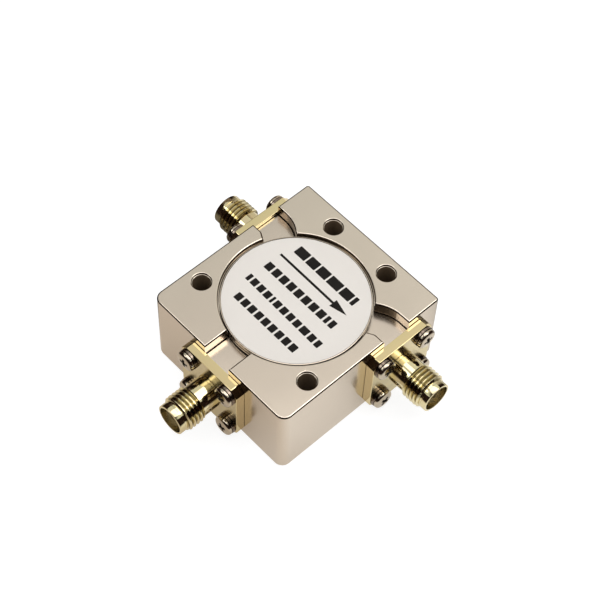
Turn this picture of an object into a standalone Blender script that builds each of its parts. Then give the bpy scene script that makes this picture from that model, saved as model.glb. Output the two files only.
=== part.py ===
"""A three-port radio-frequency circulator with threaded coaxial sockets.

Metres, +Z up. The origin is the middle of the housing's bottom face. Port 1 faces -X, port 2 faces -Y
and port 3 faces +Y. Every socket is modelled along its own +Z and is carried by an empty on its port.
"""

from math import asin, atan2, cos, hypot, pi, radians, sin

import bmesh
import bpy
from mathutils import Matrix, Vector

# Housing
BLOCK_LENGTH = 0.033
BLOCK_WIDTH = 0.030
BLOCK_HEIGHT = 0.015
FRONT_CORNER_RADIUS = 0.0016
BACK_CORNER_RADIUS = 0.00045
BLOCK_EDGE_CHAMFER = 0.00015
FLOOR_THICKNESS = 0.00217
POCKET_WALL = 0.0028
LEDGE_WIDTH = 0.0016

# Mounting holes: the front pair is set in from the front and the sides, the back pair from the back
MOUNT_HOLE_RADIUS = 0.0016
FRONT_HOLE_SETBACK = 0.0075
FRONT_HOLE_SIDE_INSET = 0.0029
BACK_HOLE_SETBACK = 0.0028
BACK_HOLE_SPACING = 0.0121

# Ports and the channels that lead to them. The ports' axes lie halfway up the room for the stack
PORT_OFFSET = 0.00715
PORT_WALL = 0.002
CHANNEL_HALF_WIDTH = 0.0027
CHANNEL_STRAIGHT = 0.0017
CHANNEL_BEND_RADIUS = 0.00385
COVER_LEDGE = 0.0007
COVER_THICKNESS = 0.0015

# Lid and label
LID_THICKNESS = 0.00135
LID_EDGE_CHAMFER = 0.0002
LABEL_INSET = 0.0002
LABEL_THICKNESS = 0.00012
LABEL_RECESS = 0.00045

# The stack under the lid
CONDUCTOR_THICKNESS = 0.0002
CONDUCTOR_DISC_RADIUS = 0.0052
CONDUCTOR_ARM_HALF_WIDTH = 0.0007
FERRITE_THICKNESS = 0.0012
SPACER_WALL = 0.0021
POLE_THICKNESS = 0.0006
MAGNET_CLEARANCE = 0.0008
TEMPERATURE_PLATE_THICKNESS = 0.00035

# Socket shell, with its stations measured out from the housing's side
FLANGE_SIZE = 0.0127
FLANGE_THICKNESS = 0.00165
FLANGE_CORNER_CHAMFER = 0.00125
SHOULDER_DEPTH = 0.00035
SHOULDER_END = 0.00488
THREAD_HEIGHT = 0.00052
THREAD_CHAMFER = 0.0003
THREAD_LENGTH = 0.00334
RELIEF_WALL = 0.00028
RELIEF_LENGTH = 0.00038
RIM_WALL = 0.00036
RIM_LENGTH = 0.001
RIM_CHAMFER = 0.0001
MOUTH_STEP = 0.00025
MOUTH_DEPTH = 0.00195

# Insulator and contact
INSULATOR_RADIUS = 0.0019
CONTACT_SETBACK = 0.0001
CONTACT_TAIL = 0.0012
CONTACT_BORE_RADIUS = 0.00045
CONTACT_WALL = 0.000185
CONTACT_BORE_DEPTH = 0.0024
CONTACT_SLOT_WIDTH = 0.0002
CONTACT_SLOT_DEPTH = 0.0017

# Flange screws
SCREW_EDGE_DISTANCE = 0.00203
SCREW_RADIUS = 0.001
SCREW_HOLE_DEPTH = 0.0023
SCREW_HEAD_RADIUS = 0.0019
SCREW_HEAD_HEIGHT = 0.0013
SCREW_HEAD_SIDE = 0.0004
RECESS_LENGTH = 0.0021
RECESS_WIDTH = 0.00052
RECESS_DEPTH = 0.0008
RECESS_TAPER = 0.62
RECESS_TURN = radians(37)

# Clearances: between faces that rest on each other, and round a pin or a screw in its hole
SEAT_GAP = 0.00025
FIT_GAP = 0.00015
POCKET_GAP = 0.0003
CUT_OVERRUN = 0.001

# Segments of round shapes
ROUND_LARGE = 64
ROUND_MEDIUM = 32
ROUND_SMALL = 16
CORNER_STEPS = 4
BEND_STEPS = 6
DOME_STEPS = 3
SMOOTH_ANGLE = radians(35)
WELD_DISTANCE = 1e-7

# Sizes and places that follow from the ones above
HALF_LENGTH = BLOCK_LENGTH / 2
HALF_WIDTH = BLOCK_WIDTH / 2
POCKET_RADIUS = min(HALF_LENGTH, HALF_WIDTH) - POCKET_WALL
CAVITY_RADIUS = POCKET_RADIUS - LEDGE_WIDTH
LABEL_TOP = BLOCK_HEIGHT - LABEL_RECESS
LABEL_BOTTOM = LABEL_TOP - LABEL_THICKNESS
LID_TOP = LABEL_BOTTOM - SEAT_GAP
LID_BOTTOM = LID_TOP - LID_THICKNESS
LEDGE_HEIGHT = LID_BOTTOM - SEAT_GAP
PLATE_BOTTOM = LEDGE_HEIGHT - TEMPERATURE_PLATE_THICKNESS
AXIS_HEIGHT = (FLOOR_THICKNESS + PLATE_BOTTOM) / 2
LID_RADIUS = POCKET_RADIUS - POCKET_GAP
LABEL_RADIUS = LID_RADIUS - LABEL_INSET
COVER_BOTTOM = LEDGE_HEIGHT - COVER_THICKNESS
COVER_SEAT = COVER_BOTTOM - SEAT_GAP
INNER_CHANNEL_HALF_WIDTH = CHANNEL_HALF_WIDTH - COVER_LEDGE
POLE_RADIUS = CAVITY_RADIUS - SEAT_GAP
RING_INNER_RADIUS = POLE_RADIUS - SPACER_WALL
FERRITE_RADIUS = RING_INNER_RADIUS - SEAT_GAP
MAGNET_RADIUS = CAVITY_RADIUS - MAGNET_CLEARANCE
SOCKET_BORE_RADIUS = INSULATOR_RADIUS + FIT_GAP
MOUTH_RADIUS = SOCKET_BORE_RADIUS + MOUTH_STEP
RIM_RADIUS = MOUTH_RADIUS + RIM_WALL
RELIEF_RADIUS = MOUTH_RADIUS + RELIEF_WALL
THREAD_RADIUS = RELIEF_RADIUS + THREAD_HEIGHT
SHOULDER_RADIUS = THREAD_RADIUS - SHOULDER_DEPTH
THREAD_END = SHOULDER_END + THREAD_LENGTH
RELIEF_END = THREAD_END + RELIEF_LENGTH
SOCKET_FRONT = RELIEF_END + RIM_LENGTH
INSULATOR_FRONT = SOCKET_FRONT - MOUTH_DEPTH
CONTACT_RADIUS = CONTACT_BORE_RADIUS + CONTACT_WALL
SCREW_PITCH = FLANGE_SIZE - 2 * SCREW_EDGE_DISTANCE
SCREW_TIP = SEAT_GAP - SCREW_HOLE_DEPTH
HEAD_SEAT = FLANGE_THICKNESS + SEAT_GAP

# Colours, as colour, metallic and roughness
FINISHES = {
    "nickel": ((0.62, 0.57, 0.51), 1.0, 0.28),
    "gold": ((0.80, 0.62, 0.30), 1.0, 0.22),
    "screw_steel": ((0.55, 0.50, 0.44), 1.0, 0.25),
    "label_paper": ((0.80, 0.77, 0.74), 0.0, 0.55),
    "white_plastic": ((0.86, 0.85, 0.82), 0.0, 0.45),
    "ferrite": ((0.10, 0.10, 0.11), 0.0, 0.40),
    "magnet": ((0.20, 0.20, 0.22), 0.6, 0.45),
    "steel": ((0.48, 0.48, 0.49), 1.0, 0.35),
    "silver": ((0.84, 0.83, 0.80), 1.0, 0.20),
}


def clear_scene():
    for obj in list(bpy.data.objects):
        bpy.data.objects.remove(obj, do_unlink=True)


def make_materials():
    made = {}
    for name, (colour, metallic, roughness) in FINISHES.items():
        material = bpy.data.materials.new(name)
        material.use_nodes = True
        shader = material.node_tree.nodes["Principled BSDF"]
        shader.inputs["Base Color"].default_value = (*colour, 1.0)
        shader.inputs["Metallic"].default_value = metallic
        shader.inputs["Roughness"].default_value = roughness
        made[name] = material
    return made


def link_mesh(name, mesh, parent=None):
    obj = bpy.data.objects.new(name, mesh)
    bpy.context.scene.collection.objects.link(obj)
    if parent is not None:
        obj.parent = parent
    return obj


def finish_mesh(name, bm):
    bmesh.ops.remove_doubles(bm, verts=bm.verts, dist=WELD_DISTANCE)
    bmesh.ops.recalc_face_normals(bm, faces=bm.faces)
    mesh = bpy.data.meshes.new(name)
    bm.to_mesh(mesh)
    bm.free()
    mesh.shade_smooth()
    mesh.set_sharp_from_angle(angle=SMOOTH_ANGLE)
    return mesh


def make_piece(name, bm, finish, parent=None):
    mesh = finish_mesh(name, bm)
    mesh.materials.append(finish)
    return link_mesh(name, mesh, parent)


def make_cutter(name, bm, parent=None):
    cutter = link_mesh(name, finish_mesh(name, bm), parent)
    cutter.hide_render = True
    cutter.display_type = "WIRE"
    return cutter


def combine(obj, other, operation="DIFFERENCE"):
    modifier = obj.modifiers.new(f"{operation.lower()} {other.name}", "BOOLEAN")
    modifier.operation = operation
    modifier.solver = "EXACT"
    modifier.object = other


def turned(profile, segments):
    """A solid turned about Z from (radius, height) points that form a closed outline with the axis."""
    bm = bmesh.new()
    points = [bm.verts.new((radius, 0.0, height)) for radius, height in profile]
    edges = [bm.edges.new(pair) for pair in zip(points, points[1:])]
    if profile[0][0] > 0.0:
        edges.append(bm.edges.new((points[-1], points[0])))
    bmesh.ops.spin(
        bm, geom=points + edges, cent=(0, 0, 0), axis=(0, 0, 1), angle=2 * pi, steps=segments, use_merge=True
    )
    return bm


def disc(radius, bottom, top, segments=ROUND_LARGE):
    return turned([(0.0, top), (radius, top), (radius, bottom), (0.0, bottom)], segments)


def tube(inner, outer, bottom, top, segments=ROUND_LARGE):
    return turned([(inner, top), (outer, top), (outer, bottom), (inner, bottom)], segments)


def prism(outline, bottom, top):
    """A flat outline of (x, y) points extruded from one height to another."""
    bm = bmesh.new()
    face = bm.faces.new([bm.verts.new((x, y, bottom)) for x, y in outline])
    raised = bmesh.ops.extrude_face_region(bm, geom=[face])["geom"]
    corners = [item for item in raised if isinstance(item, bmesh.types.BMVert)]
    bmesh.ops.translate(bm, verts=corners, vec=(0, 0, top - bottom))
    return bm


def box(low, high):
    outline = [(low[0], low[1]), (high[0], low[1]), (high[0], high[1]), (low[0], high[1])]
    return prism(outline, low[2], high[2])


def rounded_outline():
    """The housing seen from above, with two large and two small corner radii."""
    corners = [
        (HALF_LENGTH, HALF_WIDTH, BACK_CORNER_RADIUS, 0),
        (-HALF_LENGTH, HALF_WIDTH, FRONT_CORNER_RADIUS, 1),
        (-HALF_LENGTH, -HALF_WIDTH, FRONT_CORNER_RADIUS, 2),
        (HALF_LENGTH, -HALF_WIDTH, BACK_CORNER_RADIUS, 3),
    ]
    outline = []
    for x, y, radius, quarter in corners:
        centre_x = x - radius if x > 0 else x + radius
        centre_y = y - radius if y > 0 else y + radius
        for step in range(CORNER_STEPS + 1):
            angle = (quarter + step / CORNER_STEPS) * pi / 2
            outline.append((centre_x + radius * cos(angle), centre_y + radius * sin(angle)))
    return outline


def channel_path(port):
    """The middle line of a port's channel, from the junction to past the housing's side."""
    if port == 1:
        return [Vector((0.0, 0.0)), Vector((-HALF_LENGTH - CUT_OVERRUN, 0.0))]
    side = -1 if port == 2 else 1
    bend_x = PORT_OFFSET - CHANNEL_BEND_RADIUS
    bend_y = HALF_WIDTH - CHANNEL_STRAIGHT
    bend_angle = atan2(bend_x, bend_y) + asin(CHANNEL_BEND_RADIUS / hypot(bend_x, bend_y))
    path = [Vector((0.0, 0.0))]
    for step in range(BEND_STEPS + 1):
        angle = bend_angle * (1 - step / BEND_STEPS)
        x = bend_x + CHANNEL_BEND_RADIUS * cos(angle)
        y = bend_y - CHANNEL_BEND_RADIUS * sin(angle)
        path.append(Vector((x, side * y)))
    path.append(Vector((PORT_OFFSET, side * (HALF_WIDTH + CUT_OVERRUN))))
    return path


def strip_outline(path, half_width):
    """The two sides of a strip that follows a path, as one closed outline."""
    left = []
    right = []
    for index, point in enumerate(path):
        before = path[max(index - 1, 0)]
        after = path[min(index + 1, len(path) - 1)]
        inward = (point - before).normalized()
        outward = (after - point).normalized()
        along = (inward + outward).normalized()
        across = Vector((-along.y, along.x))
        turn = inward.dot(along) if index and index < len(path) - 1 else 1.0
        left.append(point + across * half_width / turn)
        right.append(point - across * half_width / turn)
    return [(point.x, point.y) for point in left + right[::-1]]


def port_places():
    """Each port's number, its point on the housing's side and the way it faces."""
    return [
        (1, Vector((-HALF_LENGTH, 0.0, AXIS_HEIGHT)), Vector((-1.0, 0.0, 0.0))),
        (2, Vector((PORT_OFFSET, -HALF_WIDTH, AXIS_HEIGHT)), Vector((0.0, -1.0, 0.0))),
        (3, Vector((PORT_OFFSET, HALF_WIDTH, AXIS_HEIGHT)), Vector((0.0, 1.0, 0.0))),
    ]


def make_port_empties():
    """An empty on each port: its Z leaves the housing, and its Y is up."""
    empties = {}
    for port, place, outward in port_places():
        up = Vector((0.0, 0.0, 1.0))
        across = up.cross(outward)
        empty = bpy.data.objects.new(f"port_{port}", None)
        bpy.context.scene.collection.objects.link(empty)
        turn = Matrix((across, up, outward)).transposed()
        empty.matrix_world = Matrix.Translation(place) @ turn.to_4x4()
        empties[port] = empty
    return empties


def screw_places():
    """The four screw positions on a flange, in the port's own X and Y."""
    half = SCREW_PITCH / 2
    return [(-half, half), (half, half), (-half, -half), (half, -half)]


def mount_hole_places():
    front_x = FRONT_HOLE_SETBACK - HALF_LENGTH
    front_y = HALF_WIDTH - FRONT_HOLE_SIDE_INSET
    back_x = HALF_LENGTH - BACK_HOLE_SETBACK
    back_y = BACK_HOLE_SPACING / 2
    return [(front_x, front_y), (front_x, -front_y), (back_x, back_y), (back_x, -back_y)]


def make_housing(finish, empties):
    bm = prism(rounded_outline(), 0.0, BLOCK_HEIGHT)
    rims = [edge for edge in bm.edges if abs(edge.verts[0].co.z - edge.verts[1].co.z) < WELD_DISTANCE]
    bmesh.ops.bevel(
        bm, geom=rims, offset=BLOCK_EDGE_CHAMFER, segments=1, profile=0.5, affect="EDGES", material=-1
    )
    housing = make_piece("housing", bm, finish)

    above = BLOCK_HEIGHT + CUT_OVERRUN
    pocket_profile = [
        (0.0, above),
        (POCKET_RADIUS, above),
        (POCKET_RADIUS, LEDGE_HEIGHT),
        (CAVITY_RADIUS, LEDGE_HEIGHT),
        (CAVITY_RADIUS, FLOOR_THICKNESS),
        (0.0, FLOOR_THICKNESS),
    ]
    combine(housing, make_cutter("cut_pocket", turned(pocket_profile, ROUND_LARGE)))

    for index, (x, y) in enumerate(mount_hole_places(), 1):
        drill = make_cutter(
            f"cut_mount_hole_{index}", disc(MOUNT_HOLE_RADIUS, -CUT_OVERRUN, above, ROUND_MEDIUM)
        )
        drill.location = (x, y, 0.0)
        combine(housing, drill)

    for port, empty in empties.items():
        cut_port(housing, port, empty)
    return housing


def inner_room(setback):
    """The housing's plan as far as a setback from the three sides that carry ports."""
    low = (setback - HALF_LENGTH, setback - HALF_WIDTH, -CUT_OVERRUN)
    high = (HALF_LENGTH + CUT_OVERRUN, HALF_WIDTH - setback, BLOCK_HEIGHT + CUT_OVERRUN)
    return box(low, high)


def cut_port(housing, port, empty):
    """The open channel, the covered channel under it, the port's bore and the screw holes."""
    path = channel_path(port)
    above = BLOCK_HEIGHT + CUT_OVERRUN
    outline = strip_outline(path, CHANNEL_HALF_WIDTH)
    combine(housing, make_cutter(f"cut_channel_{port}", prism(outline, COVER_SEAT, above)))

    inner_outline = strip_outline(path, INNER_CHANNEL_HALF_WIDTH)
    inner_floor = AXIS_HEIGHT - INNER_CHANNEL_HALF_WIDTH
    inner = make_cutter(f"cut_inner_channel_{port}", prism(inner_outline, inner_floor, above))
    room = make_cutter(f"cut_room_{port}", inner_room(PORT_WALL))
    combine(inner, room, "INTERSECT")
    combine(housing, inner)

    bore = disc(SOCKET_BORE_RADIUS, -PORT_WALL - CUT_OVERRUN, CUT_OVERRUN, ROUND_MEDIUM)
    combine(housing, make_cutter(f"cut_port_bore_{port}", bore, empty))
    for index, (x, y) in enumerate(screw_places(), 1):
        hole = disc(SCREW_RADIUS + FIT_GAP, -SCREW_HOLE_DEPTH, CUT_OVERRUN, ROUND_SMALL)
        drill = make_cutter(f"cut_screw_hole_{port}_{index}", hole, empty)
        drill.location = (x, y, 0.0)
        combine(housing, drill)


def make_lid(finish):
    edge = LID_EDGE_CHAMFER
    profile = [
        (0.0, LID_TOP),
        (LID_RADIUS - edge, LID_TOP),
        (LID_RADIUS, LID_TOP - edge),
        (LID_RADIUS, LID_BOTTOM),
        (0.0, LID_BOTTOM),
    ]
    make_piece("lid", turned(profile, ROUND_LARGE), finish)


def make_label(finish):
    make_piece("label", disc(LABEL_RADIUS, LABEL_BOTTOM, LABEL_TOP), finish)


def make_channel_covers(finish):
    """Plates on the channels' ledges, held down by the lid's edge."""
    for port, _, _ in port_places():
        outline = strip_outline(channel_path(port), CHANNEL_HALF_WIDTH - SEAT_GAP)
        cover = make_piece(f"channel_cover_{port}", prism(outline, COVER_BOTTOM, LEDGE_HEIGHT), finish)
        combine(cover, make_cutter(f"cut_cover_room_{port}", inner_room(SEAT_GAP)), "INTERSECT")
        cavity = disc(CAVITY_RADIUS + SEAT_GAP, 0.0, BLOCK_HEIGHT)
        combine(cover, make_cutter(f"cut_cover_end_{port}", cavity))


def make_conductor(finish):
    """The flat disc on the axis with its three arms, which stop short of the contacts' tails."""
    bottom = AXIS_HEIGHT - CONDUCTOR_THICKNESS / 2
    top = AXIS_HEIGHT + CONDUCTOR_THICKNESS / 2
    middle = disc(CONDUCTOR_DISC_RADIUS, bottom, top, ROUND_MEDIUM)
    conductor = make_piece("centre_conductor", middle, finish)
    for port, _, _ in port_places():
        outline = strip_outline(channel_path(port), CONDUCTOR_ARM_HALF_WIDTH)
        combine(conductor, make_cutter(f"join_arm_{port}", prism(outline, bottom, top)), "UNION")
    ends = make_cutter("cut_arm_ends", inner_room(PORT_WALL + CONTACT_TAIL + SEAT_GAP))
    combine(conductor, ends, "INTERSECT")


def make_stack(materials):
    """The pieces above and below the conductor, with equal magnets in the room that is left."""
    half = CONDUCTOR_THICKNESS / 2 + SEAT_GAP
    lower_ferrite_top = AXIS_HEIGHT - half
    lower_ferrite_bottom = lower_ferrite_top - FERRITE_THICKNESS
    lower_pole_top = lower_ferrite_bottom - SEAT_GAP
    lower_pole_bottom = lower_pole_top - POLE_THICKNESS
    upper_ferrite_bottom = AXIS_HEIGHT + half
    upper_ferrite_top = upper_ferrite_bottom + FERRITE_THICKNESS
    upper_pole_bottom = upper_ferrite_top + SEAT_GAP
    upper_pole_top = upper_pole_bottom + POLE_THICKNESS
    layers = [
        ("lower_magnet", "magnet", MAGNET_RADIUS, FLOOR_THICKNESS + SEAT_GAP, lower_pole_bottom - SEAT_GAP),
        ("lower_pole_piece", "steel", POLE_RADIUS, lower_pole_bottom, lower_pole_top),
        ("lower_ferrite", "ferrite", FERRITE_RADIUS, lower_ferrite_bottom, lower_ferrite_top),
        ("upper_ferrite", "ferrite", FERRITE_RADIUS, upper_ferrite_bottom, upper_ferrite_top),
        ("upper_pole_piece", "steel", POLE_RADIUS, upper_pole_bottom, upper_pole_top),
        ("upper_magnet", "magnet", MAGNET_RADIUS, upper_pole_top + SEAT_GAP, PLATE_BOTTOM - SEAT_GAP),
        ("temperature_plate", "steel", MAGNET_RADIUS, PLATE_BOTTOM, LEDGE_HEIGHT),
    ]
    for name, finish, radius, bottom, top in layers:
        make_piece(name, disc(radius, bottom, top, ROUND_MEDIUM), materials[finish])
    rings = [
        ("lower_spacer_ring", lower_ferrite_bottom, lower_ferrite_top),
        ("upper_spacer_ring", upper_ferrite_bottom, upper_ferrite_top),
    ]
    for name, bottom, top in rings:
        ring = tube(RING_INNER_RADIUS, POLE_RADIUS, bottom, top, ROUND_MEDIUM)
        make_piece(name, ring, materials["white_plastic"])


def flange_outline():
    half = FLANGE_SIZE / 2
    short = half - FLANGE_CORNER_CHAMFER
    return [
        (half, -short), (half, short), (short, half), (-short, half),
        (-half, short), (-half, -short), (-short, -half), (short, -half),
    ]


def barrel_profile():
    """The socket's turned outside and its stepped bore, out along the outside and back along the bore."""
    return [
        (SOCKET_BORE_RADIUS, SEAT_GAP),
        (SHOULDER_RADIUS, SEAT_GAP),
        (SHOULDER_RADIUS, SHOULDER_END),
        (THREAD_RADIUS - THREAD_CHAMFER, SHOULDER_END),
        (THREAD_RADIUS, SHOULDER_END + THREAD_CHAMFER),
        (THREAD_RADIUS, THREAD_END - THREAD_CHAMFER),
        (THREAD_RADIUS - THREAD_CHAMFER, THREAD_END),
        (RELIEF_RADIUS, THREAD_END),
        (RELIEF_RADIUS, RELIEF_END),
        (RIM_RADIUS, RELIEF_END),
        (RIM_RADIUS, SOCKET_FRONT - RIM_CHAMFER),
        (RIM_RADIUS - RIM_CHAMFER, SOCKET_FRONT),
        (MOUTH_RADIUS, SOCKET_FRONT),
        (MOUTH_RADIUS, INSULATOR_FRONT),
        (SOCKET_BORE_RADIUS, INSULATOR_FRONT),
    ]


def make_shell(port, finish, empty):
    """The square flange and the barrel in one piece, bored through and drilled for its screws."""
    flange = prism(flange_outline(), SEAT_GAP, FLANGE_THICKNESS)
    shell = make_piece(f"socket_shell_{port}", flange, finish, empty)
    bore = disc(SHOULDER_RADIUS - FIT_GAP, 0.0, FLANGE_THICKNESS + CUT_OVERRUN, ROUND_MEDIUM)
    combine(shell, make_cutter(f"cut_flange_bore_{port}", bore, empty))
    barrel = turned(barrel_profile(), ROUND_MEDIUM)
    combine(shell, make_cutter(f"join_barrel_{port}", barrel, empty), "UNION")
    for index, (x, y) in enumerate(screw_places(), 1):
        hole = disc(SCREW_RADIUS + SEAT_GAP, 0.0, FLANGE_THICKNESS + CUT_OVERRUN, ROUND_SMALL)
        drill = make_cutter(f"cut_flange_hole_{port}_{index}", hole, empty)
        drill.location = (x, y, 0.0)
        combine(shell, drill)


def make_insulator(port, finish, empty):
    bore = CONTACT_RADIUS + FIT_GAP
    insulator = tube(bore, INSULATOR_RADIUS, -PORT_WALL, INSULATOR_FRONT, ROUND_MEDIUM)
    make_piece(f"socket_insulator_{port}", insulator, finish, empty)


def make_contact(port, finish, empty):
    """A pin with a solder tail behind and a slotted socket in front."""
    front = INSULATOR_FRONT - CONTACT_SETBACK
    profile = [
        (0.0, front - CONTACT_BORE_DEPTH),
        (CONTACT_BORE_RADIUS, front - CONTACT_BORE_DEPTH),
        (CONTACT_BORE_RADIUS, front),
        (CONTACT_RADIUS, front),
        (CONTACT_RADIUS, -PORT_WALL - CONTACT_TAIL),
        (0.0, -PORT_WALL - CONTACT_TAIL),
    ]
    contact = make_piece(f"socket_contact_{port}", turned(profile, ROUND_SMALL), finish, empty)
    for index, turn in enumerate((0.0, pi / 2), 1):
        reach = CONTACT_RADIUS + CUT_OVERRUN
        half = CONTACT_SLOT_WIDTH / 2
        slot = box((-reach, -half, front - CONTACT_SLOT_DEPTH), (reach, half, front + CUT_OVERRUN))
        saw = make_cutter(f"cut_contact_slot_{port}_{index}", slot, empty)
        saw.rotation_euler = (0.0, 0.0, turn)
        combine(contact, saw)


def screw_profile():
    """A pan head on a shank, from the crown down to the tip."""
    crown = HEAD_SEAT + SCREW_HEAD_HEIGHT
    side = HEAD_SEAT + SCREW_HEAD_SIDE
    profile = []
    for step in range(DOME_STEPS + 1):
        angle = (1 - step / DOME_STEPS) * pi / 2
        profile.append((SCREW_HEAD_RADIUS * cos(angle), side + (crown - side) * sin(angle)))
    profile[0] = (0.0, crown)
    profile.append((SCREW_HEAD_RADIUS, HEAD_SEAT))
    profile.append((SCREW_RADIUS, HEAD_SEAT))
    profile.append((SCREW_RADIUS, SCREW_TIP))
    profile.append((0.0, SCREW_TIP))
    return profile


def cross_recess():
    """A cross that narrows towards its bottom."""
    arm = RECESS_LENGTH / 2
    half = RECESS_WIDTH / 2
    outline = [
        (arm, -half), (arm, half), (half, half), (half, arm), (-half, arm), (-half, half),
        (-arm, half), (-arm, -half), (-half, -half), (-half, -arm), (half, -arm), (half, -half),
    ]
    crown = HEAD_SEAT + SCREW_HEAD_HEIGHT
    bottom = crown - RECESS_DEPTH
    bm = prism(outline, bottom, crown + CUT_OVERRUN)
    low = [vert for vert in bm.verts if vert.co.z < crown]
    bmesh.ops.scale(bm, verts=low, vec=(RECESS_TAPER, RECESS_TAPER, 1.0))
    return bm


def make_screw_mesh(finish):
    """One screw with its recess cut, as a mesh that every screw shares."""
    pattern = make_piece("screw_pattern", turned(screw_profile(), ROUND_SMALL), finish)
    driver = make_cutter("cut_recess", cross_recess())
    combine(pattern, driver)
    graph = bpy.context.evaluated_depsgraph_get()
    mesh = bpy.data.meshes.new_from_object(pattern.evaluated_get(graph))
    mesh.name = "flange_screw"
    bpy.data.objects.remove(pattern, do_unlink=True)
    bpy.data.objects.remove(driver, do_unlink=True)
    return mesh


def make_screws(port, mesh, empty):
    places = screw_places()
    for index, (x, y) in enumerate(places, 1):
        screw = link_mesh(f"flange_screw_{port}_{index}", mesh, empty)
        screw.location = (x, y, 0.0)
        screw.rotation_euler = (0.0, 0.0, RECESS_TURN * (len(places) * port + index))


def main():
    clear_scene()
    materials = make_materials()
    empties = make_port_empties()
    make_housing(materials["nickel"], empties)
    make_lid(materials["nickel"])
    make_label(materials["label_paper"])
    make_channel_covers(materials["nickel"])
    make_conductor(materials["silver"])
    make_stack(materials)
    screw_mesh = make_screw_mesh(materials["screw_steel"])
    for port, empty in empties.items():
        make_shell(port, materials["gold"], empty)
        make_insulator(port, materials["white_plastic"], empty)
        make_contact(port, materials["gold"], empty)
        make_screws(port, screw_mesh, empty)


main()
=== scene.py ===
"""A three-port radio-frequency circulator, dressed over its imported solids.

Metres, +Z up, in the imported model's own frame. Port 1 faces -X, port 2 faces -Y and port 3 faces +Y.
Sockets, screws and contacts are modelled along +Z and then set on their port.
"""

from math import asin, atan2, copysign, cos, hypot, pi, radians, sin, sqrt
from typing import NamedTuple

import bmesh
import bpy
from bpy.props import FloatProperty, FloatVectorProperty, IntProperty, PointerProperty
from bpy.types import Operator, Panel, PropertyGroup
from mathutils import Matrix, Vector


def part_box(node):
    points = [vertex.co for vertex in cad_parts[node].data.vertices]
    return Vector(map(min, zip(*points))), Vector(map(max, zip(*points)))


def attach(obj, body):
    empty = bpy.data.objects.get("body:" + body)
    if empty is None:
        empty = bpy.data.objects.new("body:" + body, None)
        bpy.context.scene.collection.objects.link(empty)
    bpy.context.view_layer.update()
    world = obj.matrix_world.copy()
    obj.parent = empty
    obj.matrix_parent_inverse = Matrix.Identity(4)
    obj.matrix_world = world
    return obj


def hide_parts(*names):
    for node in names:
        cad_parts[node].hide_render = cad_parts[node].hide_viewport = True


bl_info = {
    "name": "Coaxial Circulator",
    "version": (1, 0, 0),
    "blender": (4, 5, 0),
    "location": "3D View > Sidebar > Circulator",
    "description": "Models a three-port circulator with its sockets, screws and printed label",
    "category": "Add Mesh",
}

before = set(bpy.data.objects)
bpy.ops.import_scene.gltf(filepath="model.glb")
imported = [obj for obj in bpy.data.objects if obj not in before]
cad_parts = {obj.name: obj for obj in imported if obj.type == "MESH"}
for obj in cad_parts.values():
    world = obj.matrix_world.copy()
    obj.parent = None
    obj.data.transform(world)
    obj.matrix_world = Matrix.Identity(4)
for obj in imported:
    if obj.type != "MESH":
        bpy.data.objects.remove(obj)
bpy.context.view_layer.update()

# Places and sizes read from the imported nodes
BLOCK_LOW, BLOCK_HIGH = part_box("housing")
LABEL_LOW, LABEL_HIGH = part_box("label")
COVER_LOW, COVER_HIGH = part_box("channel_cover_1")
SHELL_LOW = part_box("socket_shell_1")[0]
CONTACT_LOW, CONTACT_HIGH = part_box("socket_contact_1")
INSULATOR_LOW, INSULATOR_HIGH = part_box("socket_insulator_1")
SIDE_CONTACT_LOW, SIDE_CONTACT_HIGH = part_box("socket_contact_3")

HALF_LENGTH = BLOCK_HIGH.x
HALF_WIDTH = BLOCK_HIGH.y
BLOCK_TOP = BLOCK_HIGH.z
AXIS_HEIGHT = (CONTACT_LOW.z + CONTACT_HIGH.z) / 2
PORT_OFFSET = (SIDE_CONTACT_LOW.x + SIDE_CONTACT_HIGH.x) / 2
CHANNEL_FLOOR = COVER_HIGH.z

# The ports' numbers, and millimetres to the metre
PORTS = (1, 2, 3)
MILLIMETRES = 1000.0

# Distances at which points merge, a cutter's reach past its work, and the gap under a resting piece
WELD = 1e-7
THREAD_WELD = 1e-6
OVERRUN = 0.001
REST = 0.00002

# How far in the middle of a small round stands, as a share of its radius
ROUND_MIDDLE = 0.3

# How much a face looks up: at most on a wall, and on a rim's faces from the steep side to the level one
WALL_UP = 0.1
RIM_UP = (0.02, 0.995)
RIM_STEEP = 0.72

# Directions in the studio
UPWARD = (0.0, 0.0, 1.0)
BEHIND = (0.707, 0.707, 0.0)
RIGHTWARD = (0.707, -0.707, 0.0)
RIGHT_BEHIND = (0.9, 0.44, 0.0)
PALE_SIDE = (0.95, 0.31, 0.0)
TO_CAMERA = (-0.394, -0.389, 0.833)

# The camera's lens in millimetres, its place in metres and its turn in degrees
CAMERA_LENS = 97.8
CAMERA_PLACE = (-0.0996476, -0.0990756, 0.2257720)
CAMERA_TURN = (33.57583, -1.67174, -42.88214)

# Each soft light's name, its setting, its place and its width
LAMPS = (
    ("studio_top_light", "top_radiance", (0.05, -0.05, 0.60), 0.56),
    ("studio_side_light", "side_radiance", (0.25, -0.25, 0.50), 0.26),
    ("studio_left_light", "left_radiance", (-0.271, 0.227, 0.421), 0.24),
)

# The floor that reflections see, with painted light and shade: its tint on both sides, darker on the left and
# lighter on the right, and where it changes along each direction
FLOOR_SIZE = 4.0
FLOOR_GAP = 0.00003
FLOOR_LEFT = (0.90, 0.81, 0.71, 1.0)
FLOOR_RIGHT = (1.2, 1.18, 1.14, 1.0)
FLOOR_SIDES = (-0.012, 0.006)
FLOOR_NEAR = (0.033, 0.045)
FLOOR_BEHIND = (0.0, 0.007)
FLOOR_OPEN_SIDE = (0.022, 0.032)

# The room that reflections see, low down and overhead
ROOM_LOW = (0.90, 0.94, 0.90, 1.0)
ROOM_HIGH = (0.97, 0.95, 0.94, 1.0)

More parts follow.
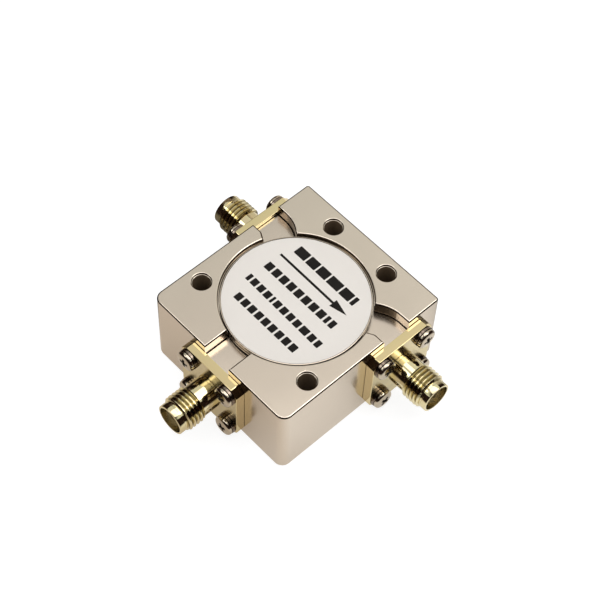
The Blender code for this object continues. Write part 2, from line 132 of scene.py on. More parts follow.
# The label's arrow: its ends in millimetres, then its head's length and its half widths in metres
ARROW_TAIL = (3.97, 7.95)
ARROW_TIP = (3.73, -7.4)
ARROW_HEAD = 0.0031
ARROW_HALF = 0.00021
ARROW_WIDE = 0.00080

# Each row of bars on the label, in millimetres: start, end, height, gap and the bars' relative widths
BAR_ROWS = (
    ((6.65, 6.9), (6.45, -6.7), 1.75, 0.30, (2.3, 2.0, 2.1, 2.5, 2.1, 0.7)),
    ((1.05, 8.0), (0.95, -7.6), 1.5, 0.36, (1, 1, 1, 1, 1, 1, 1, 1, 0.5, 0.7)),
    ((-2.65, 8.3), (-3.15, -8.7), 1.35, 0.36, (0.6, 1, 1, 1, 0.4, 1, 1, 1, 1, 1.3, 1, 0.8)),
    ((-6.35, 6.9), (-6.45, -6.8), 1.4, 0.36, (1, 1, 1, 1, 1, 1, 1, 1, 1)),
)

# The thread's form: how far out from root to crest, and how far along the pitch
THREAD_FORM = ((0, 0.0), (0, 0.10), (1, 0.46), (1, 0.60), (0, 0.96), (0, 1.0))

# What multiplies the plating's colour: painted shade down a hole, a painted dark reflection on some edges,
# speckled painted shade and dark reflection on some walls, and painted shade in the thread's valleys
WHITE = (1.0, 1.0, 1.0, 1.0)
HOLE_SHADE_TINT = (0.36, 0.30, 0.23, 1.0)
PAINTED_EDGE_TINT = (0.15, 0.12, 0.09, 1.0)
PAINTED_WALL_DARKEST = (0.18, 0.15, 0.11, 1.0)
PAINTED_WALL_LIGHTEST = (0.52, 0.45, 0.37, 1.0)
VALLEY_SHADE_TINT = (0.34, 0.30, 0.20, 1.0)


class Surface(NamedTuple):
    """How a finish looks close up, with its patterns per millimetre and its grain's height in metres."""

    metallic: float
    roughness: float
    spread: float
    cloud: float
    grain: float
    height: float
    dark: float = 0.92
    light: float = 1.05


SURFACES = {
    "housing_nickel": Surface(1.0, 0.18, 0.02, 0.12, 3.2, 0.0000006, 0.985, 1.015),
    "lid_nickel": Surface(1.0, 0.17, 0.02, 0.25, 3.0, 0.0000006, 0.985, 1.015),
    "cut_nickel": Surface(1.0, 0.2, 0.05, 0.8, 2.2, 0.00004, 0.7, 1.3),
    "cover_nickel": Surface(1.0, 0.22, 0.03, 0.2, 3.0, 0.0000006, 0.985, 1.015),
    "label_paper": Surface(0.0, 0.5, 0.06, 0.15, 5.0, 0.0000012, 0.985, 1.01),
    "label_ink": Surface(0.0, 0.6, 0.05, 0.6, 9.0, 0.0000005, 0.8, 1.25),
    "flange_gold": Surface(1.0, 0.07, 0.015, 0.3, 3.5, 0.0000003, 0.98, 1.02),
    "socket_gold": Surface(1.0, 0.055, 0.015, 0.5, 6.0, 0.0000002, 0.97, 1.03),
    "bore_gold": Surface(1.0, 0.2, 0.04, 0.6, 6.0, 0.000001, 0.93, 1.05),
    "insulator_white": Surface(0.0, 0.42, 0.06, 0.4, 4.0, 0.000001, 0.97, 1.02),
    "contact_gold": Surface(1.0, 0.2, 0.05, 0.6, 8.0, 0.0000008),
    "screw_nickel": Surface(1.0, 0.10, 0.02, 0.6, 5.0, 0.0000005),
    # Painted shade down the screws' cross recess: near-black and barely metallic
    "recess_shade": Surface(0.3, 0.3, 0.05, 0.8, 5.0, 0.000001, 0.7, 1.3),
    # A dark band at the foot of each screw head, far darker than the head
    "dark_washer": Surface(1.0, 0.16, 0.04, 0.8, 5.0, 0.000001, 0.8, 1.2),
    "magnet": Surface(0.6, 0.45, 0.08, 0.5, 4.0, 0.000004),
    "ferrite": Surface(0.0, 0.4, 0.08, 0.5, 4.0, 0.000003),
    "pole_steel": Surface(1.0, 0.35, 0.06, 0.4, 4.0, 0.000002),
    "conductor_silver": Surface(1.0, 0.2, 0.05, 0.5, 5.0, 0.000001),
    "ring_white": Surface(0.0, 0.45, 0.06, 0.4, 4.0, 0.000001, 0.97, 1.02),
}


def length(name, description, default):
    return FloatProperty(
        name=name, description=description, default=default, min=0.0, precision=5, unit="LENGTH"
    )


def count(name, description, default):
    return IntProperty(name=name, description=description, default=default, min=3)


def colour(name, description, default):
    return FloatVectorProperty(
        name=name, description=description, default=default, size=3, min=0.0, max=1.0, subtype="COLOR"
    )


def share(name, description, default):
    return FloatProperty(
        name=name, description=description, default=default, min=0.0, max=1.0, subtype="FACTOR"
    )


def brightness(name, description, default):
    return FloatProperty(name=name, description=description, default=default, min=0.0)


def turn_angle(name, description, degrees):
    return FloatProperty(name=name, description=description, default=radians(degrees), subtype="ANGLE")


class HousingSizes(PropertyGroup):
    front_corner: length("Front corner", "Radius of the two corners on port 1's side", 0.0016)
    back_corner: length("Back corner", "Radius of the two corners opposite port 1", 0.00045)
    edge_round: length("Edge", "Rounding along every edge at the top and the bottom", 0.00028)
    hole_radius: length("Mounting hole", "Radius of the four through holes", 0.00146)
    hole_mouth: length("Hole mouth", "Radius of the shallow step at the top of each hole", 0.00156)
    hole_step: length("Hole step", "Depth of the shallow step at the top of each hole", 0.00034)
    hole_edge: length("Hole edge", "Rounding at the mouth of each mounting hole", 0.0002)
    front_hole_x: length("Front hole setback", "From port 1's side to the front pair of holes", 0.0075)
    front_hole_inset: length("Front hole inset", "From the sides to the front pair of holes", 0.0029)
    back_hole_x: length("Back hole setback", "From the back to the back pair of holes", 0.0028)
    back_hole_gap: length("Back hole spacing", "Between the back pair of holes", 0.0121)
    pocket_radius: length("Pocket", "Radius of the round pocket above its ledge", 0.01225)
    ledge_radius: length("Pocket ledge", "Radius of the pocket below the narrow ledge in its wall", 0.01217)
    ledge_height: length("Ledge height", "Height of the narrow ledge in the pocket's wall", 0.01434)
    cavity_radius: length("Cavity", "Radius of the pocket below its ledge", 0.0106)
    floor: length("Floor", "Thickness of metal under the cavity", 0.00217)
    floor_lift: length("Floor lift", "How far the channel floors stand over the packed ones", 0.0002)
    floor_play: length("Floor play", "Gap between a channel floor and each wall", 0.0001)
    floor_edge: length("Floor edge", "Rounding of the channel floors' top edges", 0.00008)
    channel_half: length("Channel half width", "Half the width of each open channel", 0.0027)
    inner_half: length("Inner channel half width", "Half the width of each covered channel", 0.002)
    channel_straight: length("Channel straight", "Straight run of a side channel from its port", 0.0017)
    # Along this length from port 2 its channel wall is left without the speckled painted shade
    unshaded_wall_end: length("Smooth wall", "Length of port 2's channel wall that was left smooth", 0.0028)
    channel_bend: length("Channel bend", "Radius of the bend in a side channel", 0.00385)
    port_wall: length("Port wall", "Metal left between a covered channel and its port", 0.002)
    port_bore: length("Port bore", "Radius of the bore behind each socket", 0.00205)
    screw_hole: length("Screw hole", "Radius of the blind holes for the flange screws", 0.00115)
    screw_hole_depth: length("Screw hole depth", "Depth of the blind holes", 0.0023)
    steps: count("Round steps", "Segments of the pocket", 160)
    hole_steps: count("Hole steps", "Segments of the mounting holes and the port bores", 48)
    screw_hole_steps: count("Screw hole steps", "Segments of the blind holes", 24)


class LidSizes(PropertyGroup):
    radius: length("Lid radius", "Outside of the lid", 0.01196)
    lip_top: length("Lip top", "Height of the lip's top over the housing's bottom", 0.01458)
    lip_width: length("Lip width", "Width of the lip's flat top", 0.0001)
    slope_foot: length("Slope foot", "Radius where the lip's inner slope ends", 0.01178)
    thread_depth: length("Lid thread", "Depth of the rings cut round the lid", 0.00011)
    thread_pitch: length("Lid thread pitch", "Distance between the rings", 0.0004)
    edge_round: length("Lid edge", "Rounding of the lid's top edge", 0.00003)
    relief_top: length("Relief top", "Height where the groove round the lid's foot starts", 0.01318)
    relief_depth: length("Relief depth", "Depth of the groove round the lid's foot", 0.0006)
    label_radius: length("Label radius", "Outside of the round label", LABEL_HIGH.x + 0.00004)
    label_edge: length("Label edge", "Rounding of the label's edge", 0.00003)
    ink_thickness: length("Ink", "How far the print stands above the label", 0.000008)
    bar_corner: length("Bar corner", "Rounding of the printed bars' corners", 0.00012)
    steps: count("Round steps", "Segments of the lid and the label", 192)


class SocketSizes(PropertyGroup):
    flange: length("Flange", "Side of the square flange", 0.0127)
    flange_thickness: length("Flange thickness", "Thickness of the flange", 0.00165)
    flange_corner: length("Flange corner", "Cut at each corner of the flange", 0.00125)
    flange_edge: length("Flange edge", "Rounding of the flange's edges", 0.00011)
    base_groove: length("Base groove", "Depth of the groove where the barrel meets the flange", 0.00014)
    groove_width: length("Groove width", "Width of the groove at the barrel's base", 0.00024)
    shoulder: length("Shoulder", "Radius between the flange and the thread", 0.00275)
    shoulder_end: length("Shoulder end", "Where the thread starts", 0.00488)
    thread: length("Thread crest", "Radius over the thread's crests", 0.0031)
    thread_root: length("Thread root", "Radius at the thread's roots", 0.00268)
    thread_pitch: length("Thread pitch", "Distance from crest to crest", 0.0007056)
    thread_end: length("Thread end", "Where the thread stops", 0.00822)
    thread_chamfer: length("Thread chamfer", "Chamfer at both ends of the thread", 0.0003)
    relief: length("Relief", "Radius of the neck in front of the thread", 0.00258)
    relief_end: length("Relief end", "Where the neck stops", 0.0086)
    rim: length("Rim", "Outside of the front rim", 0.00266)
    mouth: length("Mouth", "Radius of the wide part of the bore", 0.0023)
    bore: length("Bore", "Radius of the narrow part of the bore", 0.00205)
    front: length("Front", "Front face, out from the housing's side", -SHELL_LOW.x - HALF_LENGTH)
    insulator: length("Insulator", "Radius of the white insulator", 0.0019)
    insulator_front: length("Insulator front", "Front face of the insulator", -INSULATOR_LOW.x - HALF_LENGTH)
    insulator_back: length("Insulator back", "Depth of its back face", INSULATOR_HIGH.x + HALF_LENGTH)
    insulator_edge: length("Insulator edge", "Chamfer at the insulator's hole", 0.00006)
    contact: length("Contact", "Outside of the centre contact", 0.000635)
    contact_bore: length("Contact bore", "Bore of the centre contact", 0.00045)
    contact_front: length("Contact front", "Front face of the contact", -CONTACT_LOW.x - HALF_LENGTH)
    contact_back: length("Contact back", "Depth of the contact's tail", CONTACT_HIGH.x + HALF_LENGTH)
    contact_depth: length("Contact bore depth", "Depth of the contact's bore", 0.0024)
    slot_width: length("Slot width", "Width of the contact's slots", 0.0002)
    slot_depth: length("Slot depth", "Depth of the contact's slots", 0.0017)
    slot_turn: turn_angle("Slot turn", "Turn of the contact's slots", 20)
    contact_edge: length("Contact edge", "Chamfer at the contact's ends", 0.00004)
    contact_play: length("Contact play", "Gap between the contact and its insulator", 0.00005)
    barrel_edge: length("Barrel edge", "Chamfer at the barrel's turned edges", 0.00005)
    core_inset: length("Core inset", "How far the barrel's core reaches into the thread's roots", 0.0001)
    steps: count("Round steps", "Segments of the barrel", 72)
    drill_steps: count("Drill steps", "Segments of the flange's screw holes", 32)
    contact_steps: count("Contact steps", "Segments of the contact", 40)


class ScrewSizes(PropertyGroup):
    edge: length("Edge distance", "From the flange's side to the screw's axis", 0.00203)
    shank: length("Shank", "Radius of the shank", 0.001)
    shank_play: length("Shank play", "Gap between the shank and its hole in the flange", 0.0001)
    tip: length("Tip", "Depth of the tip in the housing", 0.00205)
    head: length("Head", "Radius of the pan head", 0.00177)
    shoulder: length("Shoulder", "Radius of the round between the head's side and its face", 0.00048)
    crown: length("Crown", "Top of the head, out from the housing's side", 0.00306)
    washer: length("Washer", "Outside of the spring washer under the head", 0.00182)
    washer_top: length("Washer top", "Top of the washer, out from the housing's side", 0.00216)
    crown_rise: length("Crown rise", "How far the face swells at its middle", 0.00012)
    recess: length("Recess", "Length of the cross recess", 0.0023)
    recess_width: length("Recess width", "Width of the cross recess", 0.00074)
    recess_depth: length("Recess depth", "Depth of the cross recess", 0.0011)
    recess_taper: share("Recess taper", "Size of the recess at its bottom", 0.5)
    recess_edge: length("Recess edge", "Rounding of the recess's mouth", 0.00005)
    edge_soft: length("Soft edge", "Chamfer of the head's foot and the washer", 0.00006)
    turn: turn_angle("Turn", "Turn from one screw to the next", 37)
    steps: count("Round steps", "Segments of a screw", 48)
    crown_steps: count("Crown steps", "Steps from the middle of the face to its edge", 5)
    shoulder_steps: count("Shoulder steps", "Steps round the shoulder", 6)


class Finishes(PropertyGroup):
    nickel: colour("Nickel", "Plating of the housing", (0.59, 0.512, 0.424))
    cover: colour("Cover nickel", "Plating of the lid and the channel floors", (0.562, 0.484, 0.40))
    cut: colour("Cut nickel", "Rough-turned slope and side of the lid", (0.30, 0.245, 0.18))
    gold: colour("Gold", "Plating of the flanges", (0.67, 0.55, 0.30))
    barrel: colour("Barrel gold", "Plating of the barrels", (0.66, 0.575, 0.35))
    bore: colour("Bore gold", "Plating inside the barrels", (0.62, 0.53, 0.31))
    screw: colour("Screw nickel", "Plating of the flange screws", (0.50, 0.43, 0.335))
    # Painted shade: the near-black colour down in the screws' cross recess
    recess: colour("Screw recess", "Dull plating down in the cross recess", (0.045, 0.035, 0.025))
    # The washer's colour makes a dark band at the foot of each screw head, far darker than the head
    washer: colour("Washer steel", "Spring washers under the screw heads", (0.21, 0.165, 0.13))
    paper: colour("Label paper", "Face of the label", (0.82, 0.775, 0.72))
    ink: colour("Label ink", "Print on the label", (0.012, 0.010, 0.009))
    insulator: colour("Insulator", "White plastic round the contacts", (0.62, 0.57, 0.47))
    magnet: colour("Magnet", "Sintered magnets", (0.16, 0.16, 0.17))
    ferrite: colour("Ferrite", "Ferrite discs", (0.07, 0.07, 0.08))
    steel: colour("Pole steel", "Pole pieces and the temperature plate", (0.42, 0.42, 0.43))
    silver: colour("Silver", "Plating of the centre conductor", (0.82, 0.80, 0.76))


class StudioSettings(PropertyGroup):
    fill: share("Fill", "Level of the light from all round", 0.475)
    top_radiance: brightness("Top light", "Brightness of the overhead soft light", 1.65)
    side_radiance: brightness("Side light", "Brightness of the soft light at the side", 3.0)
    left_radiance: brightness("Left light", "Brightness of the soft light at the left", 2.2)
    camera_shade: share("Camera shade", "Level of the dark place round the camera", 0.12)
    floor_light: brightness("Floor", "Brightness of the floor's own light", 1.28)
    floor_seen: share("Floor seen", "Share of the floor's own light in the camera's view", 0.68)
    floor_mirrored: share("Floor mirrored", "Share of the floor's own light in reflections", 0.35)
    floor_pale: share("Floor paper", "How pale the floor's paper is", 0.82)
    flag_distance: length("Flag distance", "From the middle of the floor to the dark flags", 0.062)
    flag_height: length("Flag height", "Height of the dark flags", 0.058)
    flag_dark: colour("Dark flags", "Colour of the flags that polished edges reflect", (0.035, 0.020, 0.018))
    flag_brown: colour("Back flags", "Colour of the flags behind the object", (0.34, 0.27, 0.24))
    flag_pale: colour("Right flags", "Light that comes from the right behind the object", (1.0, 0.96, 0.86))
    flag_light: share("Right flags' light", "Brightness of the light from the right behind", 0.75)


# Modelling


def parts_of(geom, kind):
    return [item for item in geom if isinstance(item, kind)]


def extruded_edges(bm, edges, move):
    """Extrudes edges and moves what is new. Returns the new far edges."""
    made = bmesh.ops.extrude_edge_only(bm, edges=edges)["geom"]
    verts = parts_of(made, bmesh.types.BMVert)
    bmesh.ops.translate(bm, verts=verts, vec=move)
    ends = set(verts)
    return [edge for edge in bm.edges if edge.verts[0] in ends and edge.verts[1] in ends]


def raised(bm, bottom, top):
    """Turns flat faces at height 0 into a solid between two heights."""
    bmesh.ops.translate(bm, verts=bm.verts, vec=(0, 0, bottom))
    made = bmesh.ops.extrude_face_region(bm, geom=bm.faces[:])["geom"]
    bmesh.ops.translate(bm, verts=parts_of(made, bmesh.types.BMVert), vec=(0, 0, top - bottom))
    return bm


def rectangle(length_x, length_y):
    bm = bmesh.new()
    bmesh.ops.create_grid(bm, x_segments=1, y_segments=1, size=0.5)
    bmesh.ops.scale(bm, verts=bm.verts, vec=(length_x, length_y, 1.0))
    return bm


def round_corners(bm, verts, radius, segments):
    bmesh.ops.bevel(
        bm, geom=verts, offset=radius, segments=segments, profile=0.5, affect="VERTICES", material=-1
    )


def round_edges(bm, edges, width, segments, clamp=True):
    bmesh.ops.bevel(
        bm, geom=edges, offset=width, segments=segments, profile=0.5, affect="EDGES", material=-1,
        clamp_overlap=clamp,
    )


def sharp_edges(bm, test, least=radians(40)):
    found = []
    for edge in bm.edges:
        if len(edge.link_faces) == 2 and edge.calc_face_angle(0.0) > least and test(edge):
            found.append(edge)
    return found


def round_mouth(radius, top, width, segments=5):
    """The part of a cutter's profile that leaves a round edge at the mouth of a hole."""
    points = []
    for step in range(segments + 1):
        angle = step / segments * pi / 2
        points.append((radius + width * (1 - sin(angle)), top - width * (1 - cos(angle))))
    return points


def turned(profile, steps):
    """A solid turned about Z from (radius, height) points, closed on the axis or on itself."""
    bm = bmesh.new()
    points = [bm.verts.new((radius, 0.0, height)) for radius, height in profile]
    edges = [bm.edges.new(pair) for pair in zip(points, points[1:])]
    if profile[0][0] > 0.0:
        edges.append(bm.edges.new((points[-1], points[0])))
    bmesh.ops.spin(
        bm, geom=points + edges, cent=(0, 0, 0), axis=(0, 0, 1), angle=2 * pi, steps=steps, use_merge=True
    )
    return bm


def disc(radius, bottom, top, steps):
    return turned([(0.0, top), (radius, top), (radius, bottom), (0.0, bottom)], steps)


def moved(bm, place):
    bmesh.ops.translate(bm, verts=bm.verts, vec=place)
    return bm


def new_object(name, bm):
    """Puts a mesh into the scene as an object at the origin."""
    mesh = bpy.data.meshes.new(name)
    bm.to_mesh(mesh)
    bm.free()
    obj = bpy.data.objects.new(name, mesh)
    bpy.context.scene.collection.objects.link(obj)
    return obj


def closed(bm):
    """Merges the points that meet, and turns every face outwards."""
    bmesh.ops.remove_doubles(bm, verts=bm.verts, dist=WELD)
    bmesh.ops.recalc_face_normals(bm, faces=bm.faces)
    return bm


def carved(bm, steps):
    """A solid after its list of (operation, tool) has been worked through."""
    body = new_object("body", closed(bm))
    tools = []
    for operation, tool in steps:
        modifier = body.modifiers.new(operation, "BOOLEAN")
        modifier.operation = operation
        modifier.solver = "EXACT"
        modifier.object = new_object("tool", closed(tool))
        tools.append(modifier.object)
    worked = body.evaluated_get(bpy.context.evaluated_depsgraph_get())
    result = bmesh.new()
    result.from_mesh(worked.to_mesh())
    worked.to_mesh_clear()
    for obj in tools + [body]:
        mesh = obj.data
        bpy.data.objects.remove(obj, do_unlink=True)
        bpy.data.meshes.remove(mesh)
    bmesh.ops.remove_doubles(result, verts=result.verts, dist=WELD)
    bmesh.ops.dissolve_degenerate(result, dist=WELD, edges=result.edges)
    if not result.faces:
        raise RuntimeError("A solid came out empty")
    return result


def add_piece(name, bm, materials, nodes, crease=radians(35)):
    """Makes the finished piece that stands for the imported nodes."""
    if not bm.faces:
        raise RuntimeError(f"{name} came out empty")
    obj = new_object(name, closed(bm))
    obj.data.shade_smooth()
    obj.data.set_sharp_from_angle(angle=crease)
    for material in materials:
        obj.data.materials.append(material)
    weighted = obj.modifiers.new("weighted normals", "WEIGHTED_NORMAL")
    weighted.keep_sharp = True
    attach(obj, "root")
    if nodes:
        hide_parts(*nodes)
    return obj


# Places


def port_matrix(port):
    """Where a port's own Z leaves the housing, with its own Y up."""
    places = {
        1: (Vector((-HALF_LENGTH, 0.0, AXIS_HEIGHT)), Vector((-1.0, 0.0, 0.0))),
        2: (Vector((PORT_OFFSET, -HALF_WIDTH, AXIS_HEIGHT)), Vector((0.0, -1.0, 0.0))),
        3: (Vector((PORT_OFFSET, HALF_WIDTH, AXIS_HEIGHT)), Vector((0.0, 1.0, 0.0))),
    }
    place, outward = places[port]
    up = Vector((0.0, 0.0, 1.0))
    turn = Matrix((up.cross(outward), up, outward)).transposed()
    return Matrix.Translation(place) @ turn.to_4x4()


def on_port(bm, port):
    bm.transform(port_matrix(port))
    return bm


def screw_places(scene):
    half = scene.circulator_socket.flange / 2 - scene.circulator_screw.edge
    return [(-half, half), (half, half), (-half, -half), (half, -half)]


def mount_hole_places(sizes):
    front_x = sizes.front_hole_x - HALF_LENGTH
    front_y = HALF_WIDTH - sizes.front_hole_inset
    back_x = HALF_LENGTH - sizes.back_hole_x
    back_y = sizes.back_hole_gap / 2
    return [(front_x, front_y), (front_x, -front_y), (back_x, back_y), (back_x, -back_y)]


def channel_strip(sizes, port, half, setback, steps=14):
    """A flat strip along a port's channel, from its side of the housing to the middle."""
    bm = bmesh.new()
    if port == 1:
        start = HALF_LENGTH - setback
        verts = [bm.verts.new((-start, y, 0.0)) for y in (-half, half)]
        extruded_edges(bm, [bm.edges.new(verts)], (start, 0.0, 0.0))
        return bm
    side = -1 if port == 2 else 1
    bend_x = PORT_OFFSET - sizes.channel_bend
    bend_y = HALF_WIDTH - sizes.channel_straight
    reach = hypot(bend_x, bend_y)
    bend = atan2(bend_x, bend_y) + asin(sizes.channel_bend / reach)
    start = HALF_WIDTH - setback
    verts = [bm.verts.new((PORT_OFFSET + x, side * start, 0.0)) for x in (-half, half)]
    edges = extruded_edges(bm, [bm.edges.new(verts)], (0.0, side * (bend_y - start), 0.0))
    ends = [vert for edge in edges for vert in edge.verts]
    last = bmesh.ops.spin(
        bm, geom=ends + edges, cent=(bend_x, side * bend_y, 0.0), axis=(0, 0, 1), angle=-side * bend,
        steps=steps,
    )["geom_last"]
    run = sqrt(reach ** 2 - sizes.channel_bend ** 2)
    inward = Vector((-sin(bend), -side * cos(bend), 0.0))
    extruded_edges(bm, parts_of(last, bmesh.types.BMEdge), inward * run)
    return bm


def inner_room(setback):
    """The housing's plan as far as a setback from the three sides that carry ports."""
    room = rectangle(2 * HALF_LENGTH - setback + OVERRUN, 2 * (HALF_WIDTH - setback))
    moved(room, ((setback + OVERRUN) / 2, 0.0, 0.0))
    return raised(room, -OVERRUN, BLOCK_TOP + OVERRUN)


# Materials


class Graph:
    """The nodes of one material or world, added and linked in the same call."""

    def __init__(self, owner):
        owner.use_nodes = True
        self.nodes = owner.node_tree.nodes
        self.links = owner.node_tree.links

    def give(self, node, key, value):
        """Links a socket to a node's input, or sets the input to a plain value."""
        if isinstance(value, bpy.types.NodeSocket):
            self.links.new(value, node.inputs[key])
        else:
            node.inputs[key].default_value = value

    def given(self, node, key):
        """The socket that a node's input is linked to."""
        return node.inputs[key].links[0].from_socket

    def add(self, kind, inputs, **settings):
        node = self.nodes.new(kind)
        for name, value in settings.items():
            setattr(node, name, value)
        for key, value in inputs.items():
            self.give(node, key, value)
        return node

    def coordinates(self, output):
        return self.add("ShaderNodeTexCoord", {}).outputs[output]

    def millimetres(self, height_share=1.0):
        """Places on the object in millimetres, drawn out upwards where the share is below one."""
        scale = (MILLIMETRES, MILLIMETRES, MILLIMETRES * height_share)
        inputs = {"Vector": self.coordinates("Object"), "Scale": scale}
        return self.add("ShaderNodeMapping", inputs).outputs["Vector"]

    def attribute(self, name):
        return self.add("ShaderNodeAttribute", {}, attribute_name=name).outputs["Fac"]

    def noise(self, place, scale, detail, roughness):
        inputs = {"Vector": place, "Scale": scale, "Detail": detail, "Roughness": roughness}
        return self.add("ShaderNodeTexNoise", inputs).outputs["Fac"]

    def bump(self, height, distance, strength=1.0, normal=None):
        inputs = {"Height": height, "Distance": distance, "Strength": strength}
        if normal:
            inputs["Normal"] = normal
        return self.add("ShaderNodeBump", inputs).outputs["Normal"]

    def span(self, value, low, high, start=0.3, end=0.7):
        inputs = {"Value": value, "From Min": start, "From Max": end, "To Min": low, "To Max": high}
        return self.add("ShaderNodeMapRange", inputs).outputs["Result"]

    def between(self, factor, low, high):
        inputs = {"Factor": factor, 6: low, 7: high}
        return self.add("ShaderNodeMix", inputs, data_type="RGBA").outputs[2]

    def math(self, operation, first, second):
        return self.add("ShaderNodeMath", {0: first, 1: second}, operation=operation).outputs[0]

    def along(self, place, direction):
        inputs = {0: place, 1: direction}
        return self.add("ShaderNodeVectorMath", inputs, operation="DOT_PRODUCT").outputs["Value"]

    def tinted(self, first, second):
        inputs = {"Factor": 1.0, 6: first, 7: second}
        return self.add("ShaderNodeMix", inputs, data_type="RGBA", blend_type="MULTIPLY").outputs[2]

    def masked(self, base, mask, tint):
        """A colour that is multiplied by a tint where the mask is one."""
        return self.tinted(base, self.between(mask, WHITE, tint))

    def level(self, value):
        return self.add("ShaderNodeCombineColor", {0: value, 1: value, 2: value}).outputs[0]


def shade(base, factor):
    return (base[0] * factor, base[1] * factor, base[2] * factor, 1.0)


def surface_material(name, base):
    """A surface whose colour and roughness drift over it, with a fine grain in its height."""
    surface = SURFACES[name]
    material = bpy.data.materials.new(name)
    graph = Graph(material)
    shader = graph.nodes["Principled BSDF"]
    place = graph.millimetres()
    drift = graph.noise(place, surface.cloud, 4.0, 0.55)
    fine = graph.noise(place, surface.grain, 3.0, 0.6)
    tint = graph.between(
        graph.span(drift, 0.0, 1.0), shade(base, surface.dark), shade(base, surface.light)
    )
    mixed = graph.math("ADD", graph.math("MULTIPLY", drift, 0.6), graph.math("MULTIPLY", fine, 0.4))
    rough = graph.span(mixed, surface.roughness - surface.spread, surface.roughness + surface.spread)
    graph.give(shader, "Base Color", tint)
    graph.give(shader, "Roughness", rough)
    graph.give(shader, "Normal", graph.bump(fine, surface.height))
    graph.give(shader, "Metallic", surface.metallic)
    return material


def bored_nickel(base):
    """The housing's plating, with cutter marks on milled walls, painted shade on less metallic walls in the
    holes, a painted dark reflection on some edges and speckled painted shade and dark reflection on some
    walls.
    """
    material = surface_material("housing_nickel", base)
    graph = Graph(material)
    shader = graph.nodes["Principled BSDF"]
    drilled_and_shaded = graph.attribute("drilled_and_shaded")
    speckle = graph.noise(graph.millimetres(), 3.4, 4.0, 0.7)
    # Speckled painted shade and dark reflection on some walls, from dark to light
    painted_wall_tint = graph.between(graph.span(speckle, 0.0, 1.0), PAINTED_WALL_DARKEST, PAINTED_WALL_LIGHTEST)
    # Painted shade down the mounting holes, whose walls are also made less metallic
    tint = graph.masked(graph.given(shader, "Base Color"), drilled_and_shaded, HOLE_SHADE_TINT)
    # Painted dark reflection on the rounds of some top edges
    tint = graph.masked(tint, graph.attribute("painted_dark_edge"), PAINTED_EDGE_TINT)
    tint = graph.masked(tint, graph.attribute("painted_wall_dark"), painted_wall_tint)
    cutter = graph.noise(graph.millimetres(0.15), 2.6, 3.0, 0.6)
    marks = graph.math("MULTIPLY", cutter, graph.attribute("milled"))
    graph.give(shader, "Base Color", tint)
    graph.give(shader, "Metallic", graph.span(drilled_and_shaded, 1.0, 0.2, 0.0, 1.0))
    graph.give(shader, "Normal", graph.bump(marks, 0.000015, normal=graph.given(shader, "Normal")))
    return material


def turned_gold(base):
    """Polished gold on turned work, with faint rings along its axis and painted shade in the thread's
    valleys.
    """
    material = surface_material("socket_gold", base)
    graph = Graph(material)
    shader = graph.nodes["Principled BSDF"]
    # Painted shade in the thread's valleys, darker towards the roots
    valley_shade = graph.span(graph.attribute("valley_shade"), 0.0, 1.0, 0.45, 0.95)
    tint = graph.masked(graph.given(shader, "Base Color"), valley_shade, VALLEY_SHADE_TINT)
    inputs = {"W": graph.attribute("along"), "Scale": 22000.0, "Detail": 2.0}
    rings = graph.add("ShaderNodeTexNoise", inputs, noise_dimensions="1D").outputs["Fac"]
    graph.give(shader, "Base Color", tint)
    graph.give(shader, "Normal", graph.bump(rings, 0.0000004, 0.6, graph.given(shader, "Normal")))
    return material


def dress_node(name, material):
    """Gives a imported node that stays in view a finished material."""
    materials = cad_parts[name].data.materials
    materials.clear()
    materials.append(material)


# Operators


